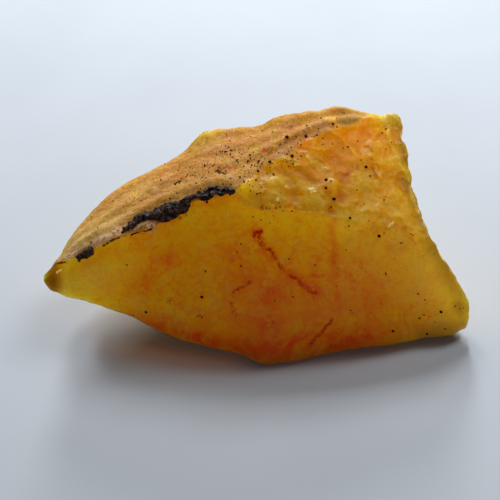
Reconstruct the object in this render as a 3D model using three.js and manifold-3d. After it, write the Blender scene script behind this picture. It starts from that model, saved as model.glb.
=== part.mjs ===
// A rough sapphire: one broken piece of a yellow corundum crystal, 40 mm long, with dark crust left in
// the seam along its ridge. Lengths are millimetres, +Z is up, and the stone lies on z = 0.
// +X runs along the stone, from its raised pointed end to its broad broken end, and -Y is its big smooth
// front face. The origin is under the middle of the stone.
import * as THREE from 'three';
import { ImprovedNoise } from 'three/addons/math/ImprovedNoise.js';
import { mergeVertices } from 'three/addons/utils/BufferGeometryUtils.js';
import Module from 'manifold-3d';

const { clamp, lerp, smoothstep } = THREE.MathUtils;

// ---------------------------------------------------------------- driving dimensions

// The stone's long edges, from the pointed end (-X) to the rim of the broken end (+X). Each is a smooth
// curve through its points. They are listed in order round the stone: from the top of the back, over the
// skin to the front, down the front face, under the stone and up the back.
const EDGES = {
  crest: [
    [-17.9, -2.2, 7.1], [-16.3, 1.7, 8.1], [-12.6, 5.9, 10.0], [-8.2, 7.6, 11.8], [-3.6, 10.1, 13.3],
    [1.1, 9.3, 14.9], [5.4, 10.1, 15.6], [9.4, 10.9, 15.4], [13.2, 11.9, 14.4],
  ],
  ridge: [
    [-17.7, -2.4, 6.9], [-15.6, -2.2, 8.4], [-12.1, -2.3, 10.6], [-7.1, -0.8, 12.7], [-1.2, -0.9, 14.4],
    [1.6, 1.9, 14.9], [4.6, 4.6, 15.3], [8.9, 7.5, 15.2], [13.1, 10.0, 14.2],
  ],
  crease: [
    [-17.7, -2.5, 6.5], [-15.4, -2.7, 8.2], [-11.7, -2.6, 10.5], [-6.7, -1.3, 12.5], [-0.8, -1.1, 13.8],
    [3.2, -1.9, 12.4], [7.7, -2.2, 11.6], [12.3, -1.9, 10.6], [16.7, -1.6, 9.6],
  ],
  belly: [[-17.7, -3.3, 5.6], [-11.8, -4.4, 5.6], [-1.2, -6.8, 6.2], [9.0, -6.4, 5.2], [20.3, -3.3, 3.0]],
  foot: [
    [-17.8, -3.4, 5.0], [-15.3, -3.6, 3.7], [-12.0, -4.0, 2.6], [-7.4, -6.2, 1.4], [-1.7, -7.7, 0.6],
    [2.2, -8.6, 0.2], [8.1, -7.1, 0.3], [15.0, -5.6, 0.4], [19.4, -3.7, 1.0],
  ],
  keel: [[-17.3, -2.0, 4.7], [-11.6, 0.3, 2.4], [-1.0, -2.5, -0.5], [8.5, -1.0, -0.7], [18.0, 0.6, 0.6]],
  heel: [[-17.4, -1.0, 5.2], [-11.6, 4.0, 4.0], [-1.6, 6.4, 0.3], [7.8, 7.4, -0.2], [15.8, 7.2, 0.9]],
  spine: [[-17.6, -1.0, 6.1], [-12.0, 6.2, 7.0], [-2.6, 11.0, 7.2], [7.4, 12.2, 7.6], [14.6, 12.0, 8.0]],
};

// The faces between those edges, in the same order. Each spans from its own edge to the next one's, with
// that many quads across it, and swells by the bulge at its middle. Crowding over 1 sets the quads closer
// together towards the next edge.
const FACES = [
  { kind: 'skin', edge: 'crest', quads: 13, crowding: 1.5, bulge: 0.5 },
  { kind: 'chipped', edge: 'ridge', quads: 10, crowding: 1, bulge: 0.2 },
  { kind: 'smooth', edge: 'crease', quads: 6, crowding: 1, bulge: 0.35 },
  { kind: 'smooth', edge: 'belly', quads: 5, crowding: 1, bulge: 0.35 },
  { kind: 'under', edge: 'foot', quads: 4, crowding: 1, bulge: 0.3 },
  { kind: 'under', edge: 'keel', quads: 4, crowding: 1, bulge: 0.2 },
  { kind: 'broken', edge: 'heel', quads: 6, crowding: 1, bulge: 0.6 },
  { kind: 'broken', edge: 'spine', quads: 6, crowding: 1, bulge: 0.4 },
];
const QUADS_ALONG = 62;
const STONE_LENGTH = 40;
const ROUNDING = 0.7; // how far the relief's direction turns on either side of the ridge

const POINT = new THREE.Vector3(-19.1, -3.1, 5.8); // the blunt nub at the pointed end
const NUB_RINGS = 3;
const BROKEN_END = { hollow: 0.9, lip: 1.15, lipFrom: 11.9, lipTo: 13.4, rings: 6 };

// Relief, as heights over the plain form.
const LEDGES = { count: 3.2, height: 0.4, rise: 0.72, wander: 0.9, size: 8 };
const CHIPS = { size: 4.4, depth: 0.6 };
const BREAKS = { size: 5.2, depth: 0.75 };
const SWELL = { size: 6.5, height: 0.22 };
const GRAIN = { size: 2.4, height: 0.1 };
// Lumps that stand out of the crest and the foot: centre, radius and height.
const KNOBS = [
  { at: [3.4, 9.9, 15.3], radius: 2.2, height: 0.35 },
  { at: [8.4, 10.8, 15.6], radius: 2.6, height: 0.5 },
  { at: [-4.2, 10.6, 12.8], radius: 2.4, height: 0.3 },
  { at: [1.2, -8.4, 0.6], radius: 1.8, height: 0.35 },
  { at: [19.6, -3.4, 2.6], radius: 1.8, height: 0.3 },
];

// The dark crust lies in a shallow seam along the ridge. Each outline runs along the stone: the share of
// the way from the pointed end, and how far the crust reaches up onto the skin and down the front face.
const CRUST = { gap: 0.3, seam: 0.4, bank: 0.9, edge: 0.2, height: 0.4, across: 6 };
const RIDGE_CRUST = {
  quads: 44,
  outline: [
    [0.25, 0.1, 0.2], [0.262, 0.35, 0.2], [0.275, 0.4, 0.2], [0.295, 0.8, 0.15], [0.312, 0.85, 0.25],
    [0.325, 0.6, 0.75], [0.345, 0.6, 1.35], [0.365, 0.8, 1.5], [0.38, 0.4, 1.25], [0.395, 0.4, 1.1],
    [0.403, 0.6, 0.3], [0.42, 0.95, -0.2], [0.43, 1.05, 0.2], [0.437, 1.1, 0.6], [0.445, 1.2, 0.12],
    [0.46, 0.9, 0.08], [0.48, 0.65, 0.15], [0.492, 0.35, 0.1],
  ],
};
const TIP_CRUST = {
  quads: 12,
  outline: [
    [0.105, -0.48, 0.73], [0.125, -0.46, 0.88], [0.14, -0.35, 1.0], [0.155, -0.27, 1.1], [0.165, -0.35, 1.12],
    [0.172, -0.65, 1.0],
  ],
};

const BASE_CUT = { size: 60, depth: 10 }; // what lies below z = 0 is cut off flat

const COLOURS = { sapphire: 0xc98a1c, crust: 0x2a1f1a };

// ---------------------------------------------------------------- relief

const noise = new ImprovedNoise();
const roughness = (p, size) => noise.noise(p.x / size + 7.3, p.y / size + 3.1, p.z / size + 5.7);

// A steady pseudo-random number from 0 to 1 for a cell of space.
function cellValue(x, y, z, salt) {
  const s = Math.sin(x * 127.1 + y * 311.7 + z * 74.7 + salt * 53.9) * 43758.5453;
  return s - Math.floor(s);
}

// How far p is from the nearest chip's centre, in chip sizes. Chips are scattered one to a cell of space.
function chipDistance(p, size) {
  const cell = [p.x, p.y, p.z].map((v) => Math.floor(v / size));
  let nearest = Infinity;
  for (let i = -1; i <= 1; i++) {
    for (let j = -1; j <= 1; j++) {
      for (let k = -1; k <= 1; k++) {
        const [x, y, z] = [cell[0] + i, cell[1] + j, cell[2] + k];
        const centre = new THREE.Vector3(
          x + cellValue(x, y, z, 1), y + cellValue(x, y, z, 2), z + cellValue(x, y, z, 3),
        );
        nearest = Math.min(nearest, centre.multiplyScalar(size).distanceTo(p) / size);
      }
    }
  }
  return nearest;
}

// Shell-shaped hollows that meet in sharp lines.
const shells = (p, { size, depth }) => depth * (Math.min(1, chipDistance(p, size)) ** 2 - 0.45);

// Ledges that run along the skin: each climbs slowly and ends in a short step.
function ledge(share, p) {
  const place = share * LEDGES.count + LEDGES.wander * roughness(p, LEDGES.size);
  const inLedge = place - Math.floor(place);
  const climb = inLedge < LEDGES.rise ? inLedge / LEDGES.rise : (1 - inLedge) / (1 - LEDGES.rise);
  return LEDGES.height * (climb - 0.5);
}

function knobs(p) {
  return KNOBS.reduce((sum, knob) => {
    const share = Math.min(1, p.distanceTo(new THREE.Vector3(...knob.at)) / knob.radius);
    return sum + knob.height * (1 - share * share) ** 2;
  }, 0);
}

// The height of the relief on a face, at a share of the way across it and along the stone.
function relief(face, share, along, p) {
  const inside = clamp(5 * Math.min(share, 1 - share), 0, 1); // the edges stay where they are drawn
  const fade = smoothstep(along, 0.02, 0.16) * (1 - smoothstep(along, 0.94, 1));
  const own = {
    skin: () => ledge(share, p),
    chipped: () => shells(p, CHIPS) * smoothstep(along, 0.5, 0.58),
    smooth: () => 0,
    under: () => 0,
    broken: () => shells(p, BREAKS),
  }[face.kind]();
  const swell = SWELL.height * roughness(p, SWELL.size);
  const grain = GRAIN.height * roughness(p, GRAIN.size);
  return fade * (inside * (own + swell) + grain) + knobs(p);
}

// ---------------------------------------------------------------- the stone's surface

const curves = FACES.map(({ edge }) => new THREE.CatmullRomCurve3(
  EDGES[edge].map((point) => new THREE.Vector3(...point)), false, 'centripetal',
));
const edgePoint = (index, along) => curves[index % curves.length].getPoint(clamp(along, 0, 1));

// A place on the stone is given by across, whose whole part is the face and whose fraction is the share of
// the way over it, and by along, which runs from 0 at the pointed end to 1 at the broken end.
function plainPoint(across, along) {
  const wrapped = (across + FACES.length) % FACES.length;
  const index = Math.floor(wrapped);
  const share = wrapped - index;
  const from = edgePoint(index, along);
  const to = edgePoint(index + 1, along);
  const point = from.clone().lerp(to, share);
  const ahead = edgePoint(index, along + 0.02).lerp(edgePoint(index + 1, along + 0.02), share);
  const behind = edgePoint(index, along - 0.02).lerp(edgePoint(index + 1, along - 0.02), share);
  const outward = to.sub(from).cross(ahead.sub(behind));
  const width = Math.min(1, from.distanceTo(edgePoint(index + 1, along)) / 4);
  const swelling = FACES[index].bulge * width * 4 * share * (1 - share);
  return outward.lengthSq() > 1e-12 ? point.addScaledVector(outward.normalize(), swelling) : point;
}

function slopeAt(across, along) {
  const overFace = plainPoint(across + 0.12, along).sub(plainPoint(across - 0.12, along));
  const alongStone = plainPoint(across, along + 0.015).sub(plainPoint(across, along - 0.015));
  return overFace.cross(alongStone).normalize();
}

// The outward direction. Near the ridge it turns from one face to the next over twice the rounding.
function outwardAt(across, along) {
  const down = distanceDown(across, along);
  if (Math.abs(down) > 3) return slopeAt(across, along);
  return slopeAt(acrossAt(down - ROUNDING, along), along)
    .add(slopeAt(acrossAt(down + ROUNDING, along), along))
    .normalize();
}

// How deep the seam under a crust is at a distance down from the ridge, which is negative on the skin. The
// seam's banks rise outside the crust's outline.
function seamDepth(down, along) {
  return [RIDGE_CRUST, TIP_CRUST].reduce((depth, { outline }) => {
    const [up, low] = crustReach(outline, along);
    const beyond = STONE_LENGTH * Math.max(0, outline[0][0] - along, along - outline.at(-1)[0]);
    const inset = Math.min(down + up, low - down) - beyond;
    return Math.max(depth, CRUST.seam * smoothstep(inset, -CRUST.bank, 0.2));
  }, 0);
}

function stonePoint(across, along) {
  const wrapped = (across + FACES.length) % FACES.length;
  const index = Math.floor(wrapped);
  const point = plainPoint(wrapped, along);
  const height = relief(FACES[index], wrapped - index, along, point);
  const depth = seamDepth(distanceDown(wrapped, along), along);
  return point.addScaledVector(outwardAt(wrapped, along), height - depth);
}

// ---------------------------------------------------------------- places near the ridge

// The skin is face 0, the chipped face is face 1 and the front face is face 2, so the ridge is at 1.
const RIDGE = 1;
const faceWidth = (index, along) => edgePoint(index, along).distanceTo(edgePoint(index + 1, along));

// Turns a distance down from the ridge into an across value, and back.
function acrossAt(down, along) {
  if (down < 0) return RIDGE + down / faceWidth(0, along);
  const chipped = faceWidth(RIDGE, along);
  return down < chipped ? RIDGE + down / chipped : RIDGE + 1 + (down - chipped) / faceWidth(RIDGE + 1, along);
}

function distanceDown(across, along) {
  if (across > RIDGE + 2) return Infinity;
  if (across < RIDGE) return (across - RIDGE) * faceWidth(0, along);
  const chipped = faceWidth(RIDGE, along);
  if (across < RIDGE + 1) return (across - RIDGE) * chipped;
  return chipped + (across - RIDGE - 1) * faceWidth(RIDGE + 1, along);
}

// How far a crust reaches up onto the skin and down the front at a place along the stone.
function crustReach(outline, along) {
  const next = Math.max(1, outline.findIndex(([place]) => place >= along));
  const [before, after] = [outline[next - 1], outline[next]];
  const share = clamp((along - before[0]) / (after[0] - before[0]), 0, 1);
  return [lerp(before[1], after[1], share), lerp(before[2], after[2], share)];
}

// ---------------------------------------------------------------- solids

// A closed surface through rings of points, with a pole at each end. Rings turn anticlockwise about the way
// that they are stacked.
function closedSurface(rings, firstPole, lastPole) {
  const around = rings[0].length;
  const points = [firstPole, ...rings.flat(), lastPole];
  const at = (ring, i) => 1 + ring * around + (i % around);
  const faces = [];
  for (let i = 0; i < around; i++) {
    faces.push(0, at(0, i + 1), at(0, i));
    for (let ring = 0; ring < rings.length - 1; ring++) {
      const corners = [at(ring, i), at(ring, i + 1), at(ring + 1, i + 1), at(ring + 1, i)];
      const turn = (ring + i) % 2; // the quads are halved both ways in turn
      faces.push(corners[turn], corners[turn + 1], corners[turn + 2]);
      faces.push(corners[turn], corners[turn + 2], corners[(turn + 3) % 4]);
    }
    faces.push(points.length - 1, at(rings.length - 1, i), at(rings.length - 1, i + 1));
  }
  return new THREE.BufferGeometry().setFromPoints(points).setIndex(faces);
}

// The middle of a ring of points.
function middle(ring) {
  return ring.reduce((sum, p) => sum.add(p), new THREE.Vector3()).divideScalar(ring.length);
}

// Rings that close an end over a rim in a round dome, from its pole to the rim, which is left out.
function domeRings(rim, pole, count) {
  const centre = middle(rim);
  const rise = pole.clone().sub(centre);
  return Array.from({ length: count }, (_, k) => {
    const turn = ((k + 1) / (count + 1)) * (Math.PI / 2);
    return rim.map((p) => p.clone().sub(centre).multiplyScalar(Math.sin(turn)).add(centre)
      .addScaledVector(rise, Math.cos(turn)));
  });
}

// Rings that close the broken end, from its lip to its middle. The rim is left out.
function brokenEndRings(rim) {
  const { hollow, lip, lipFrom, lipTo, rings } = BROKEN_END;
  const outer = rim.map((p) => {
    const reach = lip * clamp((p.z - lipFrom) / (lipTo - lipFrom), 0.08, 1);
    return p.clone().add(new THREE.Vector3(reach, 0, 0));
  });
  const centre = middle(outer);
  return Array.from({ length: rings }, (_, k) => {
    const size = 1 - k / rings;
    return outer.map((p) => {
      const point = p.clone().sub(centre).multiplyScalar(size).add(centre);
      point.x += (shells(point, BREAKS) - hollow) * (1 - size * size);
      return point;
    });
  });
}

function stoneGeometry() {
  const stops = FACES.flatMap(({ quads, crowding }, index) => (
    Array.from({ length: quads }, (_, i) => index + 1 - (1 - i / quads) ** crowding)
  ));
  const body = Array.from({ length: QUADS_ALONG + 1 }, (_, j) => (
    stops.map((across) => stonePoint(across, j / QUADS_ALONG))
  ));
  const end = brokenEndRings(body.at(-1));
  return closedSurface([...domeRings(body[0], POINT, NUB_RINGS), ...body, ...end], POINT, middle(end.at(-1)));
}

// A crust over the seam: its underside follows the stone, and its lumpy top stands over that.
function crustGeometry({ outline, quads }) {
  const first = outline[0][0];
  const length = outline.at(-1)[0] - first;
  const rings = Array.from({ length: quads + 1 }, (_, j) => {
    const share = j / quads;
    const along = first + share * length;
    const [up, low] = crustReach(outline, along);
    const under = [];
    const over = [];
    for (let i = 0; i <= CRUST.across; i++) {
      const side = i / CRUST.across;
      const down = lerp(-up, low, side);
      const stone = stonePoint(acrossAt(down, along), along);
      const outward = outwardAt(acrossAt(down, along), along);
      const lumps = 0.75 + 0.9 * roughness(stone, 1.1);
      const crown = 4 * side * (1 - side) * Math.min(1, 6 * share, 6 * (1 - share));
      under.push(stone.clone().addScaledVector(outward, CRUST.gap));
      over.push(stone.addScaledVector(outward, CRUST.gap + CRUST.edge + CRUST.height * crown * lumps));
    }
    return [...over, ...under.reverse()];
  });
  return closedSurface(rings, middle(rings[0]), middle(rings.at(-1)));
}

// ---------------------------------------------------------------- the flat base

const wasm = await Module();
wasm.setup();

function solidFrom(geometry) {
  const bare = geometry.clone();
  bare.deleteAttribute('normal');
  bare.deleteAttribute('uv');
  const merged = mergeVertices(bare);
  return new wasm.Manifold(new wasm.Mesh({
    numProp: 3,
    vertProperties: new Float32Array(merged.attributes.position.array),
    triVerts: new Uint32Array(merged.index.array),
  }));
}

function geometryFrom(solid) {
  const mesh = solid.getMesh();
  return new THREE.BufferGeometry()
    .setAttribute('position', new THREE.BufferAttribute(mesh.vertProperties, mesh.numProp))
    .setIndex(new THREE.BufferAttribute(mesh.triVerts, 1));
}

// The stone with what lies below its resting surface cut off.
function restingStone() {
  const block = new THREE.BoxGeometry(BASE_CUT.size, BASE_CUT.size, BASE_CUT.depth);
  block.translate(0, 0, -BASE_CUT.depth / 2);
  return geometryFrom(solidFrom(stoneGeometry()).subtract(solidFrom(block)));
}

// ---------------------------------------------------------------- the part

function named(name, geometry, material) {
  const mesh = new THREE.Mesh(geometry, material);
  mesh.name = name;
  mesh.geometry.computeVertexNormals();
  return mesh;
}

const sapphire = new THREE.MeshStandardMaterial({ color: COLOURS.sapphire, roughness: 0.4, metalness: 0 });
const crust = new THREE.MeshStandardMaterial({ color: COLOURS.crust, roughness: 0.75, metalness: 0 });

const part = new THREE.Group();
part.add(
  named('sapphire', restingStone(), sapphire),
  named('ridge_crust', crustGeometry(RIDGE_CRUST), crust),
  named('tip_crust', crustGeometry(TIP_CRUST), crust),
);

// The origin lies under the middle of the part.
const centre = new THREE.Box3().setFromObject(part).getCenter(new THREE.Vector3());
part.children.forEach((mesh) => mesh.position.set(-centre.x, -centre.y, 0));

export default part;
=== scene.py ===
"""The looks of a rough sapphire: milky yellow-orange crystal, tan skin, dark crust and specks.

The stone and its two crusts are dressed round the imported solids. Shapes are worked on in millimetres and
turned into metres when they are finished.
"""

import logging
import math
from dataclasses import dataclass, field, fields
from enum import Enum
from typing import Any

import bmesh
import bpy
import numpy as np
from mathutils import Matrix, Vector, noise
from mathutils.bvhtree import BVHTree


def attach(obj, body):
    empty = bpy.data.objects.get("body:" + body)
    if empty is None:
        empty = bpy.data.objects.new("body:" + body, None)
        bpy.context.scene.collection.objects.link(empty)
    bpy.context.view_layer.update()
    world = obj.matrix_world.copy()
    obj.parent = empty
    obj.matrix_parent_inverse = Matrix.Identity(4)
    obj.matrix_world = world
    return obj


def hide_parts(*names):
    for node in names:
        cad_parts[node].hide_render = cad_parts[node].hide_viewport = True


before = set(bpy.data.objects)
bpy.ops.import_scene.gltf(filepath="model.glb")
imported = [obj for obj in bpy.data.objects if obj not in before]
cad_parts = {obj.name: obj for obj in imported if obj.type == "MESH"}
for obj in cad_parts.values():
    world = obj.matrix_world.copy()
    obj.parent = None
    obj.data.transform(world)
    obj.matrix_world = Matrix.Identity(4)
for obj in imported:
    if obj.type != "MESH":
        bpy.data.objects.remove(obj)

log = logging.getLogger("sapphire")

MM = 0.001
GRAIN_TURN = math.radians(18.0)  # how far the skin's streaks are turned from the x axis
BOWL_BEND = (1.6, 0.5, 1.0)  # the amount, scale and detail of the noise that bends the chips' outlines
Point = tuple[float, float]
Place = tuple[float, float, float]
Colour = tuple[float, float, float]
Band = tuple[float, float]  # where a smooth step is 0, and where it is 1


# ---------------------------------------------------------------- the view and the light


@dataclass(frozen=True)
class Sight:
    """Where the camera stands, and what lies behind each point of its 500 by 500 view.

    A view point is (across, down) from the view's top left corner.
    """

    target: Place = (-0.68, -1.78, 7.0)
    elevation: float = 35.0
    distance: float = 220.0
    field_width: float = 46.5
    view_size: float = 500.0

    @property
    def forward(self) -> Vector:
        """The direction that the camera looks in."""
        tilt = math.radians(self.elevation)
        return Vector((0.0, math.cos(tilt), -math.sin(tilt)))

    @property
    def eye(self) -> Vector:
        """The camera's place, in millimetres."""
        return Vector(self.target) - self.forward * self.distance

    def ray(self, point: Point) -> Vector:
        """Give the direction from the eye through a view point.

        Args:
            point: The view point.

        Returns:
            The direction, one long.
        """
        sideways = Vector((1.0, 0.0, 0.0))
        upward = sideways.cross(self.forward)
        half = self.view_size / 2
        per_point = self.field_width / self.view_size
        across = sideways * (point[0] - half) * per_point
        return (self.forward * self.distance + across + upward * (half - point[1]) * per_point).normalized()

    def make_camera(self) -> bpy.types.Object:
        """Put up the camera.

        Returns:
            The camera object.
        """
        lens = bpy.data.cameras.new("camera")
        lens.sensor_width = 36.0
        lens.lens = lens.sensor_width * self.distance / self.field_width
        lens.clip_start = 0.01
        camera = bpy.data.objects.new("camera", lens)
        camera.location = self.eye * MM
        camera.rotation_euler = (math.radians(90.0 - self.elevation), 0.0, 0.0)
        bpy.context.scene.collection.objects.link(camera)
        bpy.context.scene.camera = camera
        return camera


@dataclass(frozen=True)
class SoftLight:
    """One soft rectangular light, with its place, size and aim in millimetres."""

    name: str
    place: Place
    size: tuple[float, float]
    watts: float
    colour: Colour = (1.0, 1.0, 1.0)
    aim: Place = (0.0, 0.0, 7.0)

    def hang(self) -> bpy.types.Object:
        """Hang the light.

        Returns:
            The light object.
        """
        lamp = bpy.data.lights.new(self.name, "AREA")
        lamp.shape = "RECTANGLE"
        lamp.size, lamp.size_y = self.size[0] * MM, self.size[1] * MM
        lamp.energy = self.watts
        lamp.color = self.colour
        light = bpy.data.objects.new(self.name, lamp)
        light.location = Vector(self.place) * MM
        light.rotation_mode = "QUATERNION"
        light.rotation_quaternion = (Vector(self.aim) - Vector(self.place)).to_track_quat("-Z", "Y")
        bpy.context.scene.collection.objects.link(light)
        return light


@dataclass(frozen=True)
class Studio:
    """The lights and the air round the stone.

    The last light is the small warm glow that comes through the stone's thin end onto the floor.
    """

    lights: tuple[SoftLight, ...] = (
        SoftLight("high_pane", (22.0, 182.0, 188.0), (36.0, 66.0), 0.26, (0.9, 0.95, 1.0)),
        SoftLight("low_pane", (12.0, 243.0, 100.0), (42.0, 74.0), 0.45, (0.9, 0.95, 1.0)),
        SoftLight("left_window", (-56.0, 170.0, 188.0), (70.0, 70.0), 0.212, (0.92, 0.96, 1.0)),
        SoftLight("right_window", (122.0, 84.0, 194.0), (80.0, 80.0), 0.17, (0.96, 0.98, 1.0)),
        SoftLight("ceiling", (100.0, 60.0, 360.0), (220.0, 220.0), 0.1, (0.95, 0.97, 1.0)),
        SoftLight("front_card", (20.0, -255.0, 50.0), (160.0, 60.0), 0.095, (1.0, 0.96, 0.9)),
        SoftLight(
            "amber_spill", (-8.5, -8.8, 1.7), (13.0, 2.4), 0.000014, (1.0, 0.34, 0.04), (-8.7, -9.6, 0.0)
        ),
    )
    air_colour: Colour = (0.96, 0.97, 1.0)
    air_strength: float = 0.011

    def light_up(self) -> None:
        """Hang the lights, fill the air and set how the picture shows light."""
        for light in self.lights:
            light.hang()
        world = bpy.data.worlds.new("air")
        world.use_nodes = True
        air = world.node_tree.nodes["Background"]
        air.inputs["Color"].default_value = (*self.air_colour, 1.0)
        air.inputs["Strength"].default_value = self.air_strength
        bpy.context.scene.world = world
        bpy.context.scene.view_settings.view_transform = "Standard"


# ---------------------------------------------------------------- node trees


class Tree:
    """Adds nodes to one node tree, set and wired in one call each."""

    def __init__(self, tree: bpy.types.NodeTree) -> None:
        """Keep the tree to add to."""
        self.tree = tree

    def feed(self, socket: bpy.types.NodeSocket, value: Any) -> None:
        """Link an input to the output that feeds it, or set the input's value."""
        if isinstance(value, bpy.types.NodeSocket):
            self.tree.links.new(value, socket)
        else:
            socket.default_value = value

    def add(self, kind: str, wires: dict[str | int, Any] | None = None, **settings: Any) -> bpy.types.Node:
        """Add one node.

        Args:
            kind: The node's type name.
            wires: For each input, by name or number, the output socket that feeds it or its value.
            **settings: The node's own properties.

        Returns:
            The new node.
        """
        node = self.tree.nodes.new(kind)
        for name, value in settings.items():
            setattr(node, name, value)
        for key, value in (wires or {}).items():
            self.feed(node.inputs[key], value)
        return node

    def math(self, operation: str, *values: Any, clamp: bool = False) -> bpy.types.NodeSocket:
        """Add a Math node and give its output."""
        wires = dict(enumerate(values))
        return self.add("ShaderNodeMath", wires, operation=operation, use_clamp=clamp).outputs[0]

    def vector(self, operation: str, first: Any, second: Any) -> bpy.types.NodeSocket:
        """Add a Vector Math node and give its vector output; SCALE takes a number second."""
        wires = {0: first, "Scale" if operation == "SCALE" else 1: second}
        return self.add("ShaderNodeVectorMath", wires, operation=operation).outputs[0]

    def ramp(self, value: Any, low: float, high: float, to_low: float = 0.0, to_high: float = 1.0) -> Any:
        """Add a smooth Map Range node and give its output."""
        wires = {"Value": value, "From Min": low, "From Max": high, "To Min": to_low, "To Max": to_high}
        return self.add("ShaderNodeMapRange", wires, interpolation_type="SMOOTHSTEP").outputs[0]

    def attribute(self, name: str) -> bpy.types.NodeSocket:
        """Add a node that reads a number kept on the mesh in a material, and give its output."""
        return self.add("ShaderNodeAttribute", attribute_name=name).outputs["Fac"]

    def held(self, name: str) -> bpy.types.NodeSocket:
        """Add a node that reads a number kept on the mesh in Geometry Nodes, and give its output."""
        node = self.add("GeometryNodeInputNamedAttribute", data_type="FLOAT")
        node.inputs["Name"].default_value = name
        return node.outputs["Attribute"]

    def mix(self, share: Any, first: Any, second: Any) -> bpy.types.NodeSocket:
        """Add a colour mix and give its output."""
        colours = [(*colour, 1.0) if isinstance(colour, tuple) else colour for colour in (first, second)]
        wires = {0: share, 6: colours[0], 7: colours[1]}
        return self.add("ShaderNodeMix", wires, data_type="RGBA").outputs[2]

    def along_grain(self, place: Any) -> bpy.types.NodeSocket:
        """Turn places so that their x runs along the skin's streaks."""
        wires = {"Vector": place, "Angle": -GRAIN_TURN}
        return self.add("ShaderNodeVectorRotate", wires, rotation_type="Z_AXIS").outputs[0]

    def object_place(self, size: float) -> bpy.types.NodeSocket:
        """Give the place on the object, counted in steps of a size in millimetres."""
        return self.vector("SCALE", self.add("ShaderNodeTexCoord").outputs["Object"], 1.0 / (size * MM))

    def bend(self, place: Any, amount: float, scale: float, detail: float) -> bpy.types.NodeSocket:
        """Shift places by a coloured noise, so that a pattern's straight lines wander."""
        wires = {"Vector": place, "Scale": scale, "Detail": detail}
        drift = self.add("ShaderNodeTexNoise", wires).outputs["Color"]
        return self.vector("ADD", place, self.vector("SCALE", drift, amount))


def open_group(
    name: str, kind: str, inputs: dict[str, float | str], outputs: dict[str, str]
) -> tuple[Tree, Any, Any]:
    """Start a node group.

    Args:
        name: The group's name.
        kind: "ShaderNodeTree" or "GeometryNodeTree".
        inputs: For each input its number or, where it takes none, its type, such as "Geometry".
        outputs: For each output its type.

    Returns:
        The tree to build in, the group's input node and its output node.
    """
    group = bpy.data.node_groups.new(name, kind)
    for title, value in inputs.items():
        plain = isinstance(value, (int, float))
        socket_type = type(value).__name__.capitalize() if plain else value
        socket = group.interface.new_socket(title, in_out="INPUT", socket_type=f"NodeSocket{socket_type}")
        if plain:
            socket.default_value = value
    for title, socket_type in outputs.items():
        group.interface.new_socket(title, in_out="OUTPUT", socket_type=f"NodeSocket{socket_type}")
    tree = Tree(group)
    return tree, tree.add("NodeGroupInput"), tree.add("NodeGroupOutput")


def linear(colour: Colour) -> Colour:
    """Turn a display colour of 0 to 255 into the light values that shaders take."""
    return tuple(c / 255 / 12.92 if c <= 10.3 else ((c / 255 + 0.055) / 1.055) ** 2.4 for c in colour)


# ---------------------------------------------------------------- shared shader effects


def make_mottle_group() -> bpy.types.NodeTree:
    """Build the effect of cloudy patches, which the stone, the crust and the floor all use."""
    inputs = {"Size": 3.0, "Wander": 0.4, "Low": 0.4, "High": 0.6, "Seed": 0.0, "Stretch": 1.0}
    tree, start, end = open_group("mottle", "ShaderNodeTree", inputs, {"Mask": "Float"})
    turned = tree.along_grain(tree.add("ShaderNodeTexCoord").outputs["Object"])
    narrow = tree.math("DIVIDE", 1.0, start.outputs["Stretch"])
    narrow = tree.add("ShaderNodeCombineXYZ", {0: narrow, 1: 1.0, 2: 1.0}).outputs[0]
    drawn = tree.vector("MULTIPLY", turned, narrow)
    scaled = tree.vector("SCALE", drawn, tree.math("DIVIDE", 1.0 / MM, start.outputs["Size"]))
    wires = {"Vector": tree.vector("ADD", scaled, start.outputs["Seed"]), "Scale": 1.0}
    wires |= {"Detail": 2.6, "Roughness": 0.55, "Distortion": start.outputs["Wander"]}
    patches = tree.add("ShaderNodeTexNoise", wires).outputs["Fac"]
    tree.feed(end.inputs["Mask"], tree.ramp(patches, start.outputs["Low"], start.outputs["High"]))
    return tree.tree


def make_grain_group() -> bpy.types.NodeTree:
    """Build the effect of a fine uneven surface, as a height for a Bump node."""
    tree, start, end = open_group("grain", "ShaderNodeTree", {"Size": 0.4, "Pits": 0.3}, {"Height": "Float"})
    place = tree.add("ShaderNodeTexCoord").outputs["Object"]
    scaled = tree.vector("SCALE", place, tree.math("DIVIDE", 1.0 / MM, start.outputs["Size"]))
    grain = tree.add("ShaderNodeTexNoise", {"Vector": scaled, "Scale": 1.0, "Detail": 3.6, "Roughness": 0.6})
    cells = tree.add("ShaderNodeTexVoronoi", {"Vector": scaled, "Scale": 0.9}, feature="SMOOTH_F1")
    pits = tree.math("MULTIPLY", cells.outputs["Distance"], start.outputs["Pits"])
    tree.feed(end.inputs["Height"], tree.math("ADD", grain.outputs["Fac"], pits))
    return tree.tree


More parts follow.
